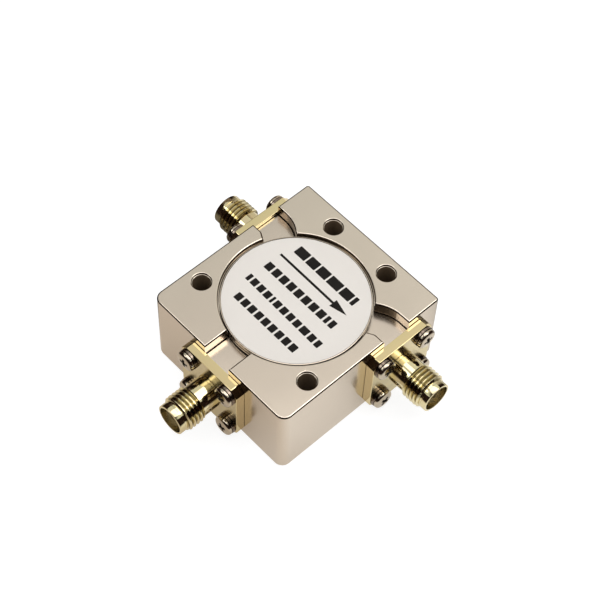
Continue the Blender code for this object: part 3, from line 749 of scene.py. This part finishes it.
class CIRCULATOR_OT_studio(Operator):
    """Add the floor, the soft light, the surroundings and the camera"""
    bl_idname = "circulator.studio"
    bl_label = "Studio"

    def execute(self, context):
        studio = context.scene.circulator_studio
        self.make_floor(studio)
        self.make_flags(studio)
        for name, setting, place, width in LAMPS:
            self.make_lamp(name, getattr(studio, setting), place, width)
        self.make_surroundings(context, studio)
        self.make_camera(context)
        context.scene.view_settings.view_transform = "Standard"
        return {"FINISHED"}

    def make_floor(self, studio):
        """A pale floor with painted light and shade that reflections alone see: lighter to the right, darker
        to the left, far out and behind.
        """
        bm = rectangle(FLOOR_SIZE, FLOOR_SIZE)
        floor = new_object("studio_floor", moved(bm, (0.0, 0.0, BLOCK_LOW.z - FLOOR_GAP)))
        material = bpy.data.materials.new("studio_paper")
        graph = Graph(material)
        graph.nodes.remove(graph.nodes["Principled BSDF"])
        path = graph.add("ShaderNodeLightPath", {}).outputs
        mirrored = graph.math("MAXIMUM", path["Is Glossy Ray"], path["Is Transmission Ray"])
        seen = graph.math(
            "MAXIMUM", graph.math("MULTIPLY", path["Is Camera Ray"], studio.floor_seen),
            graph.math("MULTIPLY", mirrored, studio.floor_mirrored),
        )
        place = graph.coordinates("Object")
        # Painted light and shade for reflections: lighter to the right, darker far out and behind, except on
        # the open right side
        right = graph.span(graph.along(place, RIGHTWARD), 0.0, 1.0, *FLOOR_SIDES)
        distance = graph.add("ShaderNodeVectorMath", {0: place}, operation="LENGTH").outputs["Value"]
        near = graph.span(distance, 1.0, 0.35, *FLOOR_NEAR)
        behind = graph.span(graph.along(place, BEHIND), 1.0, 0.25, *FLOOR_BEHIND)
        open_side = graph.span(graph.along(place, RIGHT_BEHIND), 0.0, 0.95, *FLOOR_OPEN_SIDE)
        painted_floor_shade = graph.level(graph.math("MAXIMUM", graph.math("MULTIPLY", near, behind), open_side))
        side = graph.between(right, FLOOR_LEFT, FLOOR_RIGHT)
        tint = graph.between(mirrored, WHITE, graph.tinted(side, painted_floor_shade))
        pale = graph.tinted(tint, shade(WHITE, studio.floor_pale))
        paper = graph.add("ShaderNodeBsdfDiffuse", {"Color": pale}).outputs[0]
        glow = graph.add("ShaderNodeEmission", {"Color": tint, "Strength": studio.floor_light}).outputs[0]
        mixed = graph.add("ShaderNodeMixShader", {0: seen, 1: paper, 2: glow}).outputs[0]
        graph.give(graph.nodes["Material Output"], "Surface", mixed)
        floor.data.materials.append(material)

    def make_flags(self, studio):
        """A low ring of dark flags that only reflections see, paler behind the object."""
        bm = bmesh.new()
        ends = [bm.verts.new((studio.flag_distance, 0.0, height)) for height in (0.0, studio.flag_height)]
        bmesh.ops.spin(
            bm, geom=ends + [bm.edges.new(ends)], cent=(0, 0, 0), axis=(0, 0, 1), angle=2 * pi, steps=64,
            use_merge=True,
        )
        flags = new_object("studio_flags", bm)
        flags.visible_camera = False
        flags.visible_diffuse = False
        flags.visible_shadow = False
        flags.visible_transmission = False
        material = bpy.data.materials.new("studio_flag_cloth")
        graph = Graph(material)
        shader = graph.nodes["Principled BSDF"]
        place = graph.coordinates("Object")
        out, tall = studio.flag_distance, studio.flag_height
        behind = graph.span(graph.along(place, BEHIND), 0.0, 1.0, out * 0.55, out * 0.8)
        high = graph.span(graph.along(place, UPWARD), 0.0, 1.0, tall * 0.4, tall * 0.6)
        brown = graph.math("MULTIPLY", behind, high)
        tint = graph.between(brown, shade(studio.flag_dark, 1.0), shade(studio.flag_brown, 1.0))
        light = graph.span(graph.along(place, PALE_SIDE), 0.0, studio.flag_light, out * 0.84, out * 0.93)
        graph.give(shader, "Base Color", tint)
        graph.give(shader, "Roughness", 1.0)
        graph.give(shader, "Specular IOR Level", 0.0)
        graph.give(shader, "Emission Color", shade(studio.flag_pale, 1.0))
        graph.give(shader, "Emission Strength", light)
        flags.data.materials.append(material)

    def make_lamp(self, name, radiance, place, width):
        """A round soft light that faces the middle of the floor."""
        light = bpy.data.lights.new(name, "AREA")
        light.shape = "DISK"
        light.size = width
        light.energy = radiance * (pi * width / 2) ** 2
        lamp = bpy.data.objects.new(name, light)
        lamp.location = place
        lamp.rotation_euler = Vector(place).to_track_quat("Z", "Y").to_euler()
        bpy.context.scene.collection.objects.link(lamp)

    def make_surroundings(self, context, studio):
        """A white room above the flags, with a plain level of light from all round."""
        world = bpy.data.worlds.new("studio_room")
        graph = Graph(world)
        background = graph.nodes["Background"]
        path = graph.add("ShaderNodeLightPath", {}).outputs
        seen = graph.math("MAXIMUM", path["Is Camera Ray"], path["Is Glossy Ray"])
        seen = graph.math("MAXIMUM", seen, path["Is Transmission Ray"])
        toward = graph.coordinates("Generated")
        high = graph.span(graph.along(toward, UPWARD), 0.0, 1.0, 0.78, 0.88)
        right = graph.span(graph.along(toward, RIGHTWARD), 0.9, 1.1, -0.14, 0.14)
        shaded = graph.span(graph.along(toward, TO_CAMERA), 1.0, studio.camera_shade, 0.829, 0.927)
        room = graph.tinted(
            graph.between(high, ROOM_LOW, ROOM_HIGH), graph.level(graph.math("MULTIPLY", right, shaded))
        )
        graph.give(background, "Strength", graph.span(seen, studio.fill, 1.0, 0.0, 1.0))
        graph.give(background, "Color", graph.between(path["Is Glossy Ray"], WHITE, room))
        context.scene.world = world

    def make_camera(self, context):
        lens = bpy.data.cameras.new("studio_camera")
        lens.lens = CAMERA_LENS
        lens.sensor_width = 36.0
        lens.sensor_fit = "HORIZONTAL"
        lens.clip_start = 0.01
        camera = bpy.data.objects.new("studio_camera", lens)
        camera.location = CAMERA_PLACE
        camera.rotation_euler = [radians(angle) for angle in CAMERA_TURN]
        context.scene.collection.objects.link(camera)
        context.scene.camera = camera


class CIRCULATOR_OT_housing(Operator):
    """Machine the housing's block, with its pocket, channels and holes"""
    bl_idname = "circulator.housing"
    bl_label = "Housing"

    def execute(self, context):
        sizes = context.scene.circulator_housing
        block = rectangle(2 * HALF_LENGTH, 2 * HALF_WIDTH)
        for sign, radius, segments in ((1, sizes.back_corner, 6), (-1, sizes.front_corner, 12)):
            corners = [vert for vert in block.verts if vert.co.x * sign > HALF_LENGTH - WELD]
            round_corners(block, corners, radius, segments)
        raised(block, BLOCK_LOW.z, BLOCK_TOP)
        above = BLOCK_TOP + OVERRUN
        openings = [("DIFFERENCE", disc(sizes.pocket_radius, sizes.ledge_height, above, sizes.steps))]
        for port in PORTS:
            strip = channel_strip(sizes, port, sizes.channel_half, -OVERRUN)
            openings.append(("DIFFERENCE", raised(strip, COVER_LOW.z, above)))
        block = carved(block, openings)

        def outer_rim(edge):
            heights = [vert.co.z for vert in edge.verts]
            return min(heights) > BLOCK_TOP - WELD or max(heights) < BLOCK_LOW.z + WELD

        round_edges(block, sharp_edges(block, outer_rim), sizes.edge_round, 5, False)
        pocket = turned([
            (0.0, above), (sizes.ledge_radius, above), (sizes.ledge_radius, CHANNEL_FLOOR),
            (sizes.cavity_radius, CHANNEL_FLOOR), (sizes.cavity_radius, sizes.floor), (0.0, sizes.floor),
        ], sizes.steps)
        steps = [("DIFFERENCE", pocket)]
        for x, y in mount_hole_places(sizes):
            steps.append(("DIFFERENCE", moved(self.hole_drill(sizes), (x, y, 0.0))))
        for port in PORTS:
            steps += self.port_cuts(context.scene, sizes, port)
        block = carved(block, steps)
        self.mark_walls(block, sizes)
        finish = bored_nickel(context.scene.circulator_finish.nickel)
        add_piece("machined_housing", block, [finish], ["housing"])
        return {"FINISHED"}

    def hole_drill(self, sizes):
        """A stepped drill with two round mouths and a small chamfer at the bottom."""
        above = BLOCK_TOP + OVERRUN
        chamfer = sizes.hole_edge
        return turned([
            (0.0, above), (sizes.hole_mouth + sizes.hole_edge, above),
            *round_mouth(sizes.hole_mouth, BLOCK_TOP, sizes.hole_edge),
            *round_mouth(
                sizes.hole_radius, BLOCK_TOP - sizes.hole_step, sizes.hole_mouth - sizes.hole_radius
            ),
            (sizes.hole_radius, BLOCK_LOW.z + chamfer), (sizes.hole_radius + chamfer, BLOCK_LOW.z),
            (sizes.hole_radius + chamfer, -OVERRUN), (0.0, -OVERRUN),
        ], sizes.hole_steps)

    def mark_walls(self, block, sizes):
        """Tells the finish which faces are hole walls with painted shade, which are milled walls, which edges
        get a painted dark reflection and which walls get speckled painted shade and dark reflection.
        """
        marks = ("drilled_and_shaded", "milled", "painted_dark_edge", "painted_wall_dark")
        drilled_and_shaded, milled, painted_dark_edge, painted_wall_dark = (block.faces.layers.float.new(name) for name in marks)
        holes = mount_hole_places(sizes)
        for face in block.faces:
            middle = face.calc_center_median()
            out = hypot(middle.x, middle.y)
            inside = any(hypot(middle.x - x, middle.y - y) < sizes.hole_mouth - WELD for x, y in holes)
            deep = BLOCK_LOW.z + sizes.hole_edge < middle.z < BLOCK_TOP - sizes.hole_step - sizes.hole_edge
            # The walls down the mounting holes take painted shade and a less metallic finish
            face[drilled_and_shaded] = 1.0 if inside and deep else 0.0
            within = abs(middle.x) < HALF_LENGTH - WELD and abs(middle.y) < HALF_WIDTH - WELD
            wall = within and not inside and abs(face.normal.z) < WALL_UP and middle.z > COVER_LOW.z
            face[milled] = 1.0 if wall else 0.0
            # Speckled painted shade and dark reflection on the pocket's round wall and on the side channels'
            # walls, except the first stretch from port 2
            bent = middle.y > sizes.unshaded_wall_end - HALF_WIDTH
            round_wall = out < sizes.pocket_radius + WELD
            face[painted_wall_dark] = 1.0 if wall and (round_wall or bent and middle.x > 0.0) else 0.0
            # Painted dark reflection: the top-edge rounds that face away, and the steep part of the others,
            # take a dark tint
            edge = middle.z > BLOCK_TOP - sizes.edge_round and RIM_UP[0] < face.normal.z < RIM_UP[1]
            away = face.normal.x + face.normal.y > 0.05 or face.normal.z < RIM_STEEP
            pocket = out < sizes.pocket_radius + sizes.edge_round and face.normal.z > RIM_STEEP
            face[painted_dark_edge] = 1.0 if edge and away and not inside and not pocket else 0.0

    def port_cuts(self, scene, sizes, port):
        """The covered channel below the open one, the port's bore and the screw holes."""
        inner = channel_strip(sizes, port, sizes.inner_half, -OVERRUN)
        raised(inner, AXIS_HEIGHT - sizes.inner_half, BLOCK_TOP + OVERRUN)
        cuts = [("DIFFERENCE", carved(inner, [("INTERSECT", inner_room(sizes.port_wall))]))]
        bore = disc(sizes.port_bore, -sizes.port_wall - OVERRUN, OVERRUN, sizes.hole_steps)
        cuts.append(("DIFFERENCE", on_port(bore, port)))
        for x, y in screw_places(scene):
            drill = disc(sizes.screw_hole, -sizes.screw_hole_depth, OVERRUN, sizes.screw_hole_steps)
            cuts.append(("DIFFERENCE", on_port(moved(drill, (x, y, 0.0)), port)))
        return cuts


class CIRCULATOR_OT_lid(Operator):
    """Turn the lid and cut the round label that lies on it"""
    bl_idname = "circulator.lid"
    bl_label = "Lid and label"

    def execute(self, context):
        sizes = context.scene.circulator_lid
        finishes = context.scene.circulator_finish
        nickel = surface_material("lid_nickel", finishes.cover)
        cut = surface_material("cut_nickel", finishes.cut)
        lift = context.scene.circulator_housing.floor_lift
        add_piece("turned_lid", self.lid(sizes, lift), [nickel, cut], ["lid"])

        top = LABEL_HIGH.z
        radius = sizes.label_radius
        fall = sizes.label_edge
        half_fall = fall * ROUND_MIDDLE
        label = turned([
            (0.0, top), (radius - fall, top), (radius - half_fall, top - half_fall),
            (radius, top - fall), (radius, LABEL_LOW.z), (0.0, LABEL_LOW.z),
        ], sizes.steps)
        paper = surface_material("label_paper", finishes.paper)
        add_piece("round_label", label, [paper], ["label"])
        self.print_label(context)
        return {"FINISHED"}

    def lid(self, sizes, lift):
        """A disc with a raised lip, a rough-turned slope inside it and rings cut round its side."""
        seat = LABEL_LOW.z - REST
        edge = sizes.edge_round
        top = sizes.lip_top
        crest = sizes.radius - edge - sizes.lip_width
        profile = [
            (0.0, seat), (sizes.slope_foot, seat), (crest - edge, top - edge * 0.8), (crest, top),
            (sizes.radius - edge, top), (sizes.radius - edge * ROUND_MIDDLE, top - edge * ROUND_MIDDLE),
            (sizes.radius, top - edge),
        ]
        pitch = sizes.thread_pitch
        root = sizes.radius - sizes.thread_depth
        height = top - 2 * pitch
        while height > sizes.relief_top + pitch:
            profile += [(sizes.radius, height), (root, height - pitch / 4), (root, height - pitch / 2),
                        (sizes.radius, height - pitch * 0.75)]
            height -= pitch
        foot = sizes.radius - sizes.relief_depth
        bottom = CHANNEL_FLOOR + lift + REST
        profile += [(sizes.radius, sizes.relief_top), (foot, sizes.relief_top), (foot, bottom), (0.0, bottom)]
        lid = turned(profile, sizes.steps)
        for face in lid.faces:
            middle = face.calc_center_median()
            out = hypot(middle.x, middle.y)
            slope = sizes.slope_foot * 0.998 < out < crest and middle.z > seat + WELD
            side = out > foot - WELD and middle.z < top - edge
            face.material_index = 1 if slope or side else 0
        return lid

    def print_label(self, context):
        """The direction arrow and four rows of plain bars, as thin solids on the label."""
        sizes = context.scene.circulator_lid
        ink = bmesh.new()
        self.add_arrow(ink)
        for start, end, height, gap, widths in BAR_ROWS:
            self.add_row(ink, sizes, Vector(start), Vector(end), height, gap, widths)
        top = LABEL_HIGH.z
        raised(ink, top - sizes.ink_thickness, top + sizes.ink_thickness)
        finish = surface_material("label_ink", context.scene.circulator_finish.ink)
        finish.node_tree.nodes["Principled BSDF"].inputs["Specular IOR Level"].default_value = 0.1
        add_piece("label_print", ink, [finish], [])

    def add_arrow(self, ink):
        """The outline of the arrow that shows the direction round the ports."""
        tail = Vector(ARROW_TAIL) / MILLIMETRES
        tip = Vector(ARROW_TIP) / MILLIMETRES
        along = (tip - tail).normalized()
        across = Vector((-along.y, along.x))
        neck = tip - along * ARROW_HEAD
        half, wide = across * ARROW_HALF, across * ARROW_WIDE
        corners = [tail + half, tail - half, neck - half, neck - wide, tip, neck + wide, neck + half]
        ink.faces.new([ink.verts.new((point.x, point.y, 0.0)) for point in corners])

    def add_row(self, ink, sizes, start, end, height, gap, widths):
        """The outlines of one row of bars, which share out its length by their widths."""
        run = (end - start).length
        scale = (run - gap * (len(widths) - 1)) / sum(widths)
        along = (end - start).normalized()
        turn = Matrix.Rotation(atan2(along.y, along.x), 4, "Z")
        reached = 0.0
        for width in widths:
            bar = rectangle(width * scale / MILLIMETRES, height / MILLIMETRES)
            round_corners(bar, bar.verts[:], sizes.bar_corner, 3)
            middle = (start + along * (reached + width * scale / 2)) / MILLIMETRES
            bar.transform(Matrix.Translation((middle.x, middle.y, 0.0)) @ turn)
            mesh = bpy.data.meshes.new("bar")
            bar.to_mesh(mesh)
            bar.free()
            ink.from_mesh(mesh)
            bpy.data.meshes.remove(mesh)
            reached += width * scale + gap


class CIRCULATOR_OT_channel_floors(Operator):
    """Lay the plates that make the flat floors of the open channels"""
    bl_idname = "circulator.channel_floors"
    bl_label = "Channel floors"

    def execute(self, context):
        sizes = context.scene.circulator_housing
        finish = surface_material("cover_nickel", context.scene.circulator_finish.cover)
        half = sizes.channel_half - sizes.floor_play
        top = CHANNEL_FLOOR + sizes.floor_lift
        for port in PORTS:
            strip = raised(channel_strip(sizes, port, half, REST), COVER_LOW.z, top)
            cavity = disc(sizes.cavity_radius + REST, 0.0, BLOCK_TOP, sizes.steps)
            plate = carved(strip, [("DIFFERENCE", cavity)])
            rim = sharp_edges(plate, lambda edge: all(vert.co.z > top - WELD for vert in edge.verts))
            round_edges(plate, rim, sizes.floor_edge, 2)
            add_piece(f"channel_floor_{port}", plate, [finish], [f"channel_cover_{port}"])
        return {"FINISHED"}


class CIRCULATOR_OT_sockets(Operator):
    """Machine the gold sockets, with their flanges and cut threads"""
    bl_idname = "circulator.sockets"
    bl_label = "Sockets"

    def execute(self, context):
        sizes = context.scene.circulator_socket
        finishes = context.scene.circulator_finish
        golds = [
            surface_material("flange_gold", finishes.gold),
            turned_gold(finishes.barrel),
            surface_material("bore_gold", finishes.bore),
        ]
        pattern = self.socket(context.scene, sizes)
        for port in PORTS:
            socket = on_port(pattern.copy(), port)
            add_piece(f"threaded_socket_{port}", socket, golds, [f"socket_shell_{port}"])
        pattern.free()
        return {"FINISHED"}

    def socket(self, scene, sizes):
        """The whole socket along +Z, with what its finishes need to know on its points and faces."""
        flange = self.flange(scene, sizes)
        shape = carved(flange, [("UNION", self.barrel_core(sizes)), ("UNION", self.thread(sizes))])
        bore = turned([
            (0.0, -OVERRUN), (sizes.bore, -OVERRUN), (sizes.bore, sizes.insulator_front),
            (sizes.mouth, sizes.insulator_front), (sizes.mouth, sizes.front + OVERRUN),
            (0.0, sizes.front + OVERRUN),
        ], sizes.steps)
        shape = carved(shape, [("DIFFERENCE", bore)])
        along = shape.verts.layers.float.new("along")
        # How deep each point sits in the thread, for the painted shade in its valleys
        valley_shade = shape.verts.layers.float.new("valley_shade")
        rise = sizes.thread - sizes.thread_root
        for vert in shape.verts:
            vert[along] = vert.co.z
            threaded = sizes.shoulder_end < vert.co.z < sizes.thread_end
            out = hypot(vert.co.x, vert.co.y)
            vert[valley_shade] = (sizes.thread - out) / rise if threaded and out > sizes.mouth + WELD else 0.0
        for face in shape.faces:
            middle = face.calc_center_median()
            out = hypot(middle.x, middle.y)
            face.material_index = 1 if middle.z > sizes.flange_thickness + REST else 0
            if out < sizes.mouth + WELD and middle.z < sizes.front - REST:
                face.material_index = 2
        return shape

    def flange(self, scene, sizes):
        plate = rectangle(sizes.flange, sizes.flange)
        round_corners(plate, plate.verts[:], sizes.flange_corner, 1)
        raised(plate, REST, sizes.flange_thickness)
        round_edges(plate, sharp_edges(plate, lambda edge: True), sizes.flange_edge, 2)
        drills = []
        radius = scene.circulator_screw.shank + scene.circulator_screw.shank_play
        for x, y in screw_places(scene):
            drill = disc(radius, -OVERRUN, sizes.flange_thickness + OVERRUN, sizes.drill_steps)
            drills.append(("DIFFERENCE", moved(drill, (x, y, 0.0))))
        return carved(plate, drills)

    def barrel_core(self, sizes):
        """The turned body of the barrel without its thread."""
        soft = sizes.barrel_edge
        inner = sizes.thread_root - sizes.core_inset
        neck = sizes.shoulder - sizes.base_groove
        base = sizes.flange_thickness + sizes.groove_width
        return turned([
            (0.0, REST), (neck, REST), (neck, base - soft), (sizes.shoulder - soft, base),
            (sizes.shoulder, base + soft), (sizes.shoulder, sizes.shoulder_end - soft),
            (sizes.shoulder - soft, sizes.shoulder_end), (inner, sizes.shoulder_end),
            (inner, sizes.thread_end), (sizes.relief, sizes.thread_end), (sizes.relief, sizes.relief_end),
            (sizes.rim - soft, sizes.relief_end), (sizes.rim, sizes.relief_end + soft),
            (sizes.rim, sizes.front - 2 * soft), (sizes.rim - soft * 0.6, sizes.front - soft * 0.6),
            (sizes.rim - 2 * soft, sizes.front), (0.0, sizes.front),
        ], sizes.steps)

    def thread(self, sizes):
        """The cut thread, spun up a helix, trimmed at both ends and chamfered."""
        pitch = sizes.thread_pitch
        start = sizes.shoulder_end - 1.5 * pitch
        turns = int((sizes.thread_end - start) / pitch) + 3
        radii = (sizes.thread_root, sizes.thread)
        bm = bmesh.new()
        points = [bm.verts.new((radii[out], 0.0, start + height * pitch)) for out, height in THREAD_FORM]
        edges = [bm.edges.new(pair) for pair in zip(points, points[1:])]
        bmesh.ops.spin(
            bm, geom=points + edges, cent=(0, 0, 0), axis=(0, 0, 1), angle=2 * pi * turns,
            dvec=(0, 0, pitch / sizes.steps), steps=sizes.steps * turns,
        )
        bmesh.ops.remove_doubles(bm, verts=bm.verts, dist=THREAD_WELD)
        for height, up in ((sizes.shoulder_end - REST, False), (sizes.thread_end + REST, True)):
            bmesh.ops.bisect_plane(
                bm, geom=bm.verts[:] + bm.edges[:] + bm.faces[:], plane_co=(0, 0, height), plane_no=(0, 0, 1),
                clear_outer=up, clear_inner=not up,
            )
        bmesh.ops.holes_fill(bm, edges=[edge for edge in bm.edges if edge.is_boundary])
        bmesh.ops.recalc_face_normals(bm, faces=bm.faces)
        chamfer = sizes.thread_chamfer
        envelope = turned([
            (0.0, sizes.shoulder_end), (sizes.thread - chamfer, sizes.shoulder_end),
            (sizes.thread + REST, sizes.shoulder_end + chamfer),
            (sizes.thread + REST, sizes.thread_end - chamfer),
            (sizes.thread - chamfer, sizes.thread_end), (0.0, sizes.thread_end),
        ], sizes.steps)
        return carved(bm, [("INTERSECT", envelope)])


class CIRCULATOR_OT_socket_cores(Operator):
    """Fit the white insulators and the slotted contacts in the sockets"""
    bl_idname = "circulator.socket_cores"
    bl_label = "Insulators and contacts"

    def execute(self, context):
        sizes = context.scene.circulator_socket
        finishes = context.scene.circulator_finish
        plastic = surface_material("insulator_white", finishes.insulator)
        gold = surface_material("contact_gold", finishes.bore)
        for port in PORTS:
            insulator = on_port(self.insulator(sizes), port)
            node = f"socket_insulator_{port}"
            add_piece(f"insulator_{port}", insulator, [plastic], [node])
            contact = on_port(self.contact(sizes), port)
            add_piece(f"contact_{port}", contact, [gold], [f"socket_contact_{port}"])
        return {"FINISHED"}

    def insulator(self, sizes):
        inner = sizes.contact + sizes.contact_play
        soft = sizes.insulator_edge
        return turned([
            (inner + soft, sizes.insulator_front), (sizes.insulator, sizes.insulator_front),
            (sizes.insulator, -sizes.insulator_back), (inner, -sizes.insulator_back),
            (inner, sizes.insulator_front - soft),
        ], sizes.steps)

    def contact(self, sizes):
        """A pin with a bored and slotted front end and a plain tail."""
        front = sizes.contact_front
        soft = sizes.contact_edge
        deep = front - sizes.contact_depth
        pin = turned([
            (0.0, deep - sizes.contact_bore / 2), (sizes.contact_bore, deep),
            (sizes.contact_bore, front - soft), (sizes.contact_bore + soft, front),
            (sizes.contact - soft, front), (sizes.contact, front - soft),
            (sizes.contact, -sizes.contact_back + soft), (sizes.contact - soft, -sizes.contact_back),
            (0.0, -sizes.contact_back),
        ], sizes.contact_steps)
        saws = []
        for turn in (0.0, pi / 2):
            saw = rectangle(4 * sizes.contact, sizes.slot_width)
            raised(saw, front - sizes.slot_depth, front + OVERRUN)
            saw.transform(Matrix.Rotation(turn + sizes.slot_turn, 4, "Z"))
            saws.append(("DIFFERENCE", saw))
        return carved(pin, saws)


class CIRCULATOR_OT_flange_screws(Operator):
    """Turn the pan-head screws and drive them into the flanges"""
    bl_idname = "circulator.flange_screws"
    bl_label = "Flange screws"

    def execute(self, context):
        scene = context.scene
        sizes = scene.circulator_screw
        finishes = scene.circulator_finish
        metals = [
            surface_material("screw_nickel", finishes.screw),
            surface_material("recess_shade", finishes.recess),
            surface_material("dark_washer", finishes.washer),
        ]
        pattern = self.screw(scene, sizes)
        for port in PORTS:
            for index, (x, y) in enumerate(screw_places(scene), 1):
                screw = pattern.copy()
                screw.transform(Matrix.Rotation(sizes.turn * (4 * port + index), 4, "Z"))
                on_port(moved(screw, (x, y, 0.0)), port)
                node = f"flange_screw_{port}_{index}"
                add_piece(f"pan_screw_{port}_{index}", screw, metals, [node])
        pattern.free()
        return {"FINISHED"}

    def screw(self, scene, sizes):
        """A pan-head screw with its spring washer, along +Z from the housing's side."""
        seat = scene.circulator_socket.flange_thickness + REST
        face_edge = sizes.head - sizes.shoulder
        face_low = sizes.crown - sizes.crown_rise
        profile = []
        for step in range(sizes.crown_steps):
            share_out = step / sizes.crown_steps
            profile.append((face_edge * share_out, sizes.crown - sizes.crown_rise * share_out ** 2))
        for step in range(sizes.shoulder_steps + 1):
            angle = step / sizes.shoulder_steps * pi / 2
            fall = sizes.shoulder * (1 - cos(angle))
            profile.append((face_edge + sizes.shoulder * sin(angle), face_low - fall))
        soft = sizes.edge_soft
        neck = sizes.head - 3 * soft
        washer_top = sizes.washer_top
        profile += [
            (sizes.head, washer_top + 2 * soft), (sizes.head - soft, washer_top + soft),
            (neck, washer_top + soft), (neck, washer_top), (sizes.washer - soft, washer_top),
            (sizes.washer, washer_top - soft), (sizes.washer, seat + soft), (sizes.washer - soft, seat),
            (sizes.shank, seat), (sizes.shank, -sizes.tip), (0.0, -sizes.tip),
        ]
        head = turned(profile, sizes.steps)
        shape = carved(head, [("DIFFERENCE", self.recess(sizes))])
        reach = sizes.recess * 0.55

        def recess_rim(edge):
            return all(vert.co.z > face_low - REST and vert.co.xy.length < reach for vert in edge.verts)

        round_edges(shape, sharp_edges(shape, recess_rim), sizes.recess_edge, 2)
        for face in shape.faces:
            middle = face.calc_center_median()
            out = hypot(middle.x, middle.y)
            sunk = middle.z > sizes.crown - sizes.recess_depth - WELD and middle.z < face_low - REST
            # Faces down in the cross recess take the painted shade
            if out < sizes.recess * 0.52 and sunk:
                face.material_index = 1
            # The washer and the foot of the head take the dark band's finish
            elif out > sizes.shank and seat - WELD < middle.z < washer_top + 2 * soft:
                face.material_index = 2
        return shape

    def recess(self, sizes):
        """A cross that narrows towards its bottom."""
        bm = bmesh.new()
        bmesh.ops.create_grid(bm, x_segments=3, y_segments=3, size=1.0)
        arm, half = sizes.recess / 2, sizes.recess_width / 2
        for vert in bm.verts:
            vert.co.x = copysign(arm if abs(vert.co.x) > 0.7 else half, vert.co.x)
            vert.co.y = copysign(arm if abs(vert.co.y) > 0.7 else half, vert.co.y)
        middles = [(face, face.calc_center_median()) for face in bm.faces]
        corners = [face for face, middle in middles if min(abs(middle.x), abs(middle.y)) > half]
        bmesh.ops.delete(bm, geom=corners, context="FACES")
        raised(bm, sizes.crown - sizes.recess_depth, sizes.crown + OVERRUN)
        low = [vert for vert in bm.verts if vert.co.z < sizes.crown]
        bmesh.ops.scale(bm, verts=low, vec=(sizes.recess_taper, sizes.recess_taper, 1.0))
        return bm


class CIRCULATOR_OT_inner_stack(Operator):
    """Give the magnets, ferrites and plates inside the housing their finishes"""
    bl_idname = "circulator.inner_stack"
    bl_label = "Inner stack"

    def execute(self, context):
        finishes = context.scene.circulator_finish
        stack = (
            ("magnet", finishes.magnet, ("lower_magnet", "upper_magnet")),
            ("ferrite", finishes.ferrite, ("lower_ferrite", "upper_ferrite")),
            ("pole_steel", finishes.steel, ("lower_pole_piece", "upper_pole_piece", "temperature_plate")),
            ("ring_white", finishes.insulator, ("lower_spacer_ring", "upper_spacer_ring")),
            ("conductor_silver", finishes.silver, ("centre_conductor",)),
        )
        for name, base, nodes in stack:
            material = surface_material(name, base)
            for node in nodes:
                dress_node(node, material)
        return {"FINISHED"}


OPERATORS = (
    CIRCULATOR_OT_studio,
    CIRCULATOR_OT_housing,
    CIRCULATOR_OT_lid,
    CIRCULATOR_OT_channel_floors,
    CIRCULATOR_OT_sockets,
    CIRCULATOR_OT_socket_cores,
    CIRCULATOR_OT_flange_screws,
    CIRCULATOR_OT_inner_stack,
)


class CIRCULATOR_PT_sidebar(Panel):
    """The steps of the circulator, in the order they are made"""
    bl_label = "Circulator"
    bl_space_type = "VIEW_3D"
    bl_region_type = "UI"
    bl_category = "Circulator"

    def draw(self, context):
        for operator in OPERATORS:
            self.layout.operator(operator.bl_idname)


SETTINGS = {
    "circulator_studio": StudioSettings,
    "circulator_housing": HousingSizes,
    "circulator_lid": LidSizes,
    "circulator_socket": SocketSizes,
    "circulator_screw": ScrewSizes,
    "circulator_finish": Finishes,
}


def register():
    for name, group in SETTINGS.items():
        bpy.utils.register_class(group)
        setattr(bpy.types.Scene, name, PointerProperty(type=group))
    for operator in OPERATORS:
        bpy.utils.register_class(operator)
    bpy.utils.register_class(CIRCULATOR_PT_sidebar)


def unregister():
    bpy.utils.unregister_class(CIRCULATOR_PT_sidebar)
    for operator in reversed(OPERATORS):
        bpy.utils.unregister_class(operator)
    for name, group in reversed(list(SETTINGS.items())):
        delattr(bpy.types.Scene, name)
        bpy.utils.unregister_class(group)


def main():
    register()
    bpy.ops.circulator.studio()
    bpy.ops.circulator.housing()
    bpy.ops.circulator.lid()
    bpy.ops.circulator.channel_floors()
    bpy.ops.circulator.sockets()
    bpy.ops.circulator.socket_cores()
    bpy.ops.circulator.flange_screws()
    bpy.ops.circulator.inner_stack()


if __name__ == "__main__":
    main()
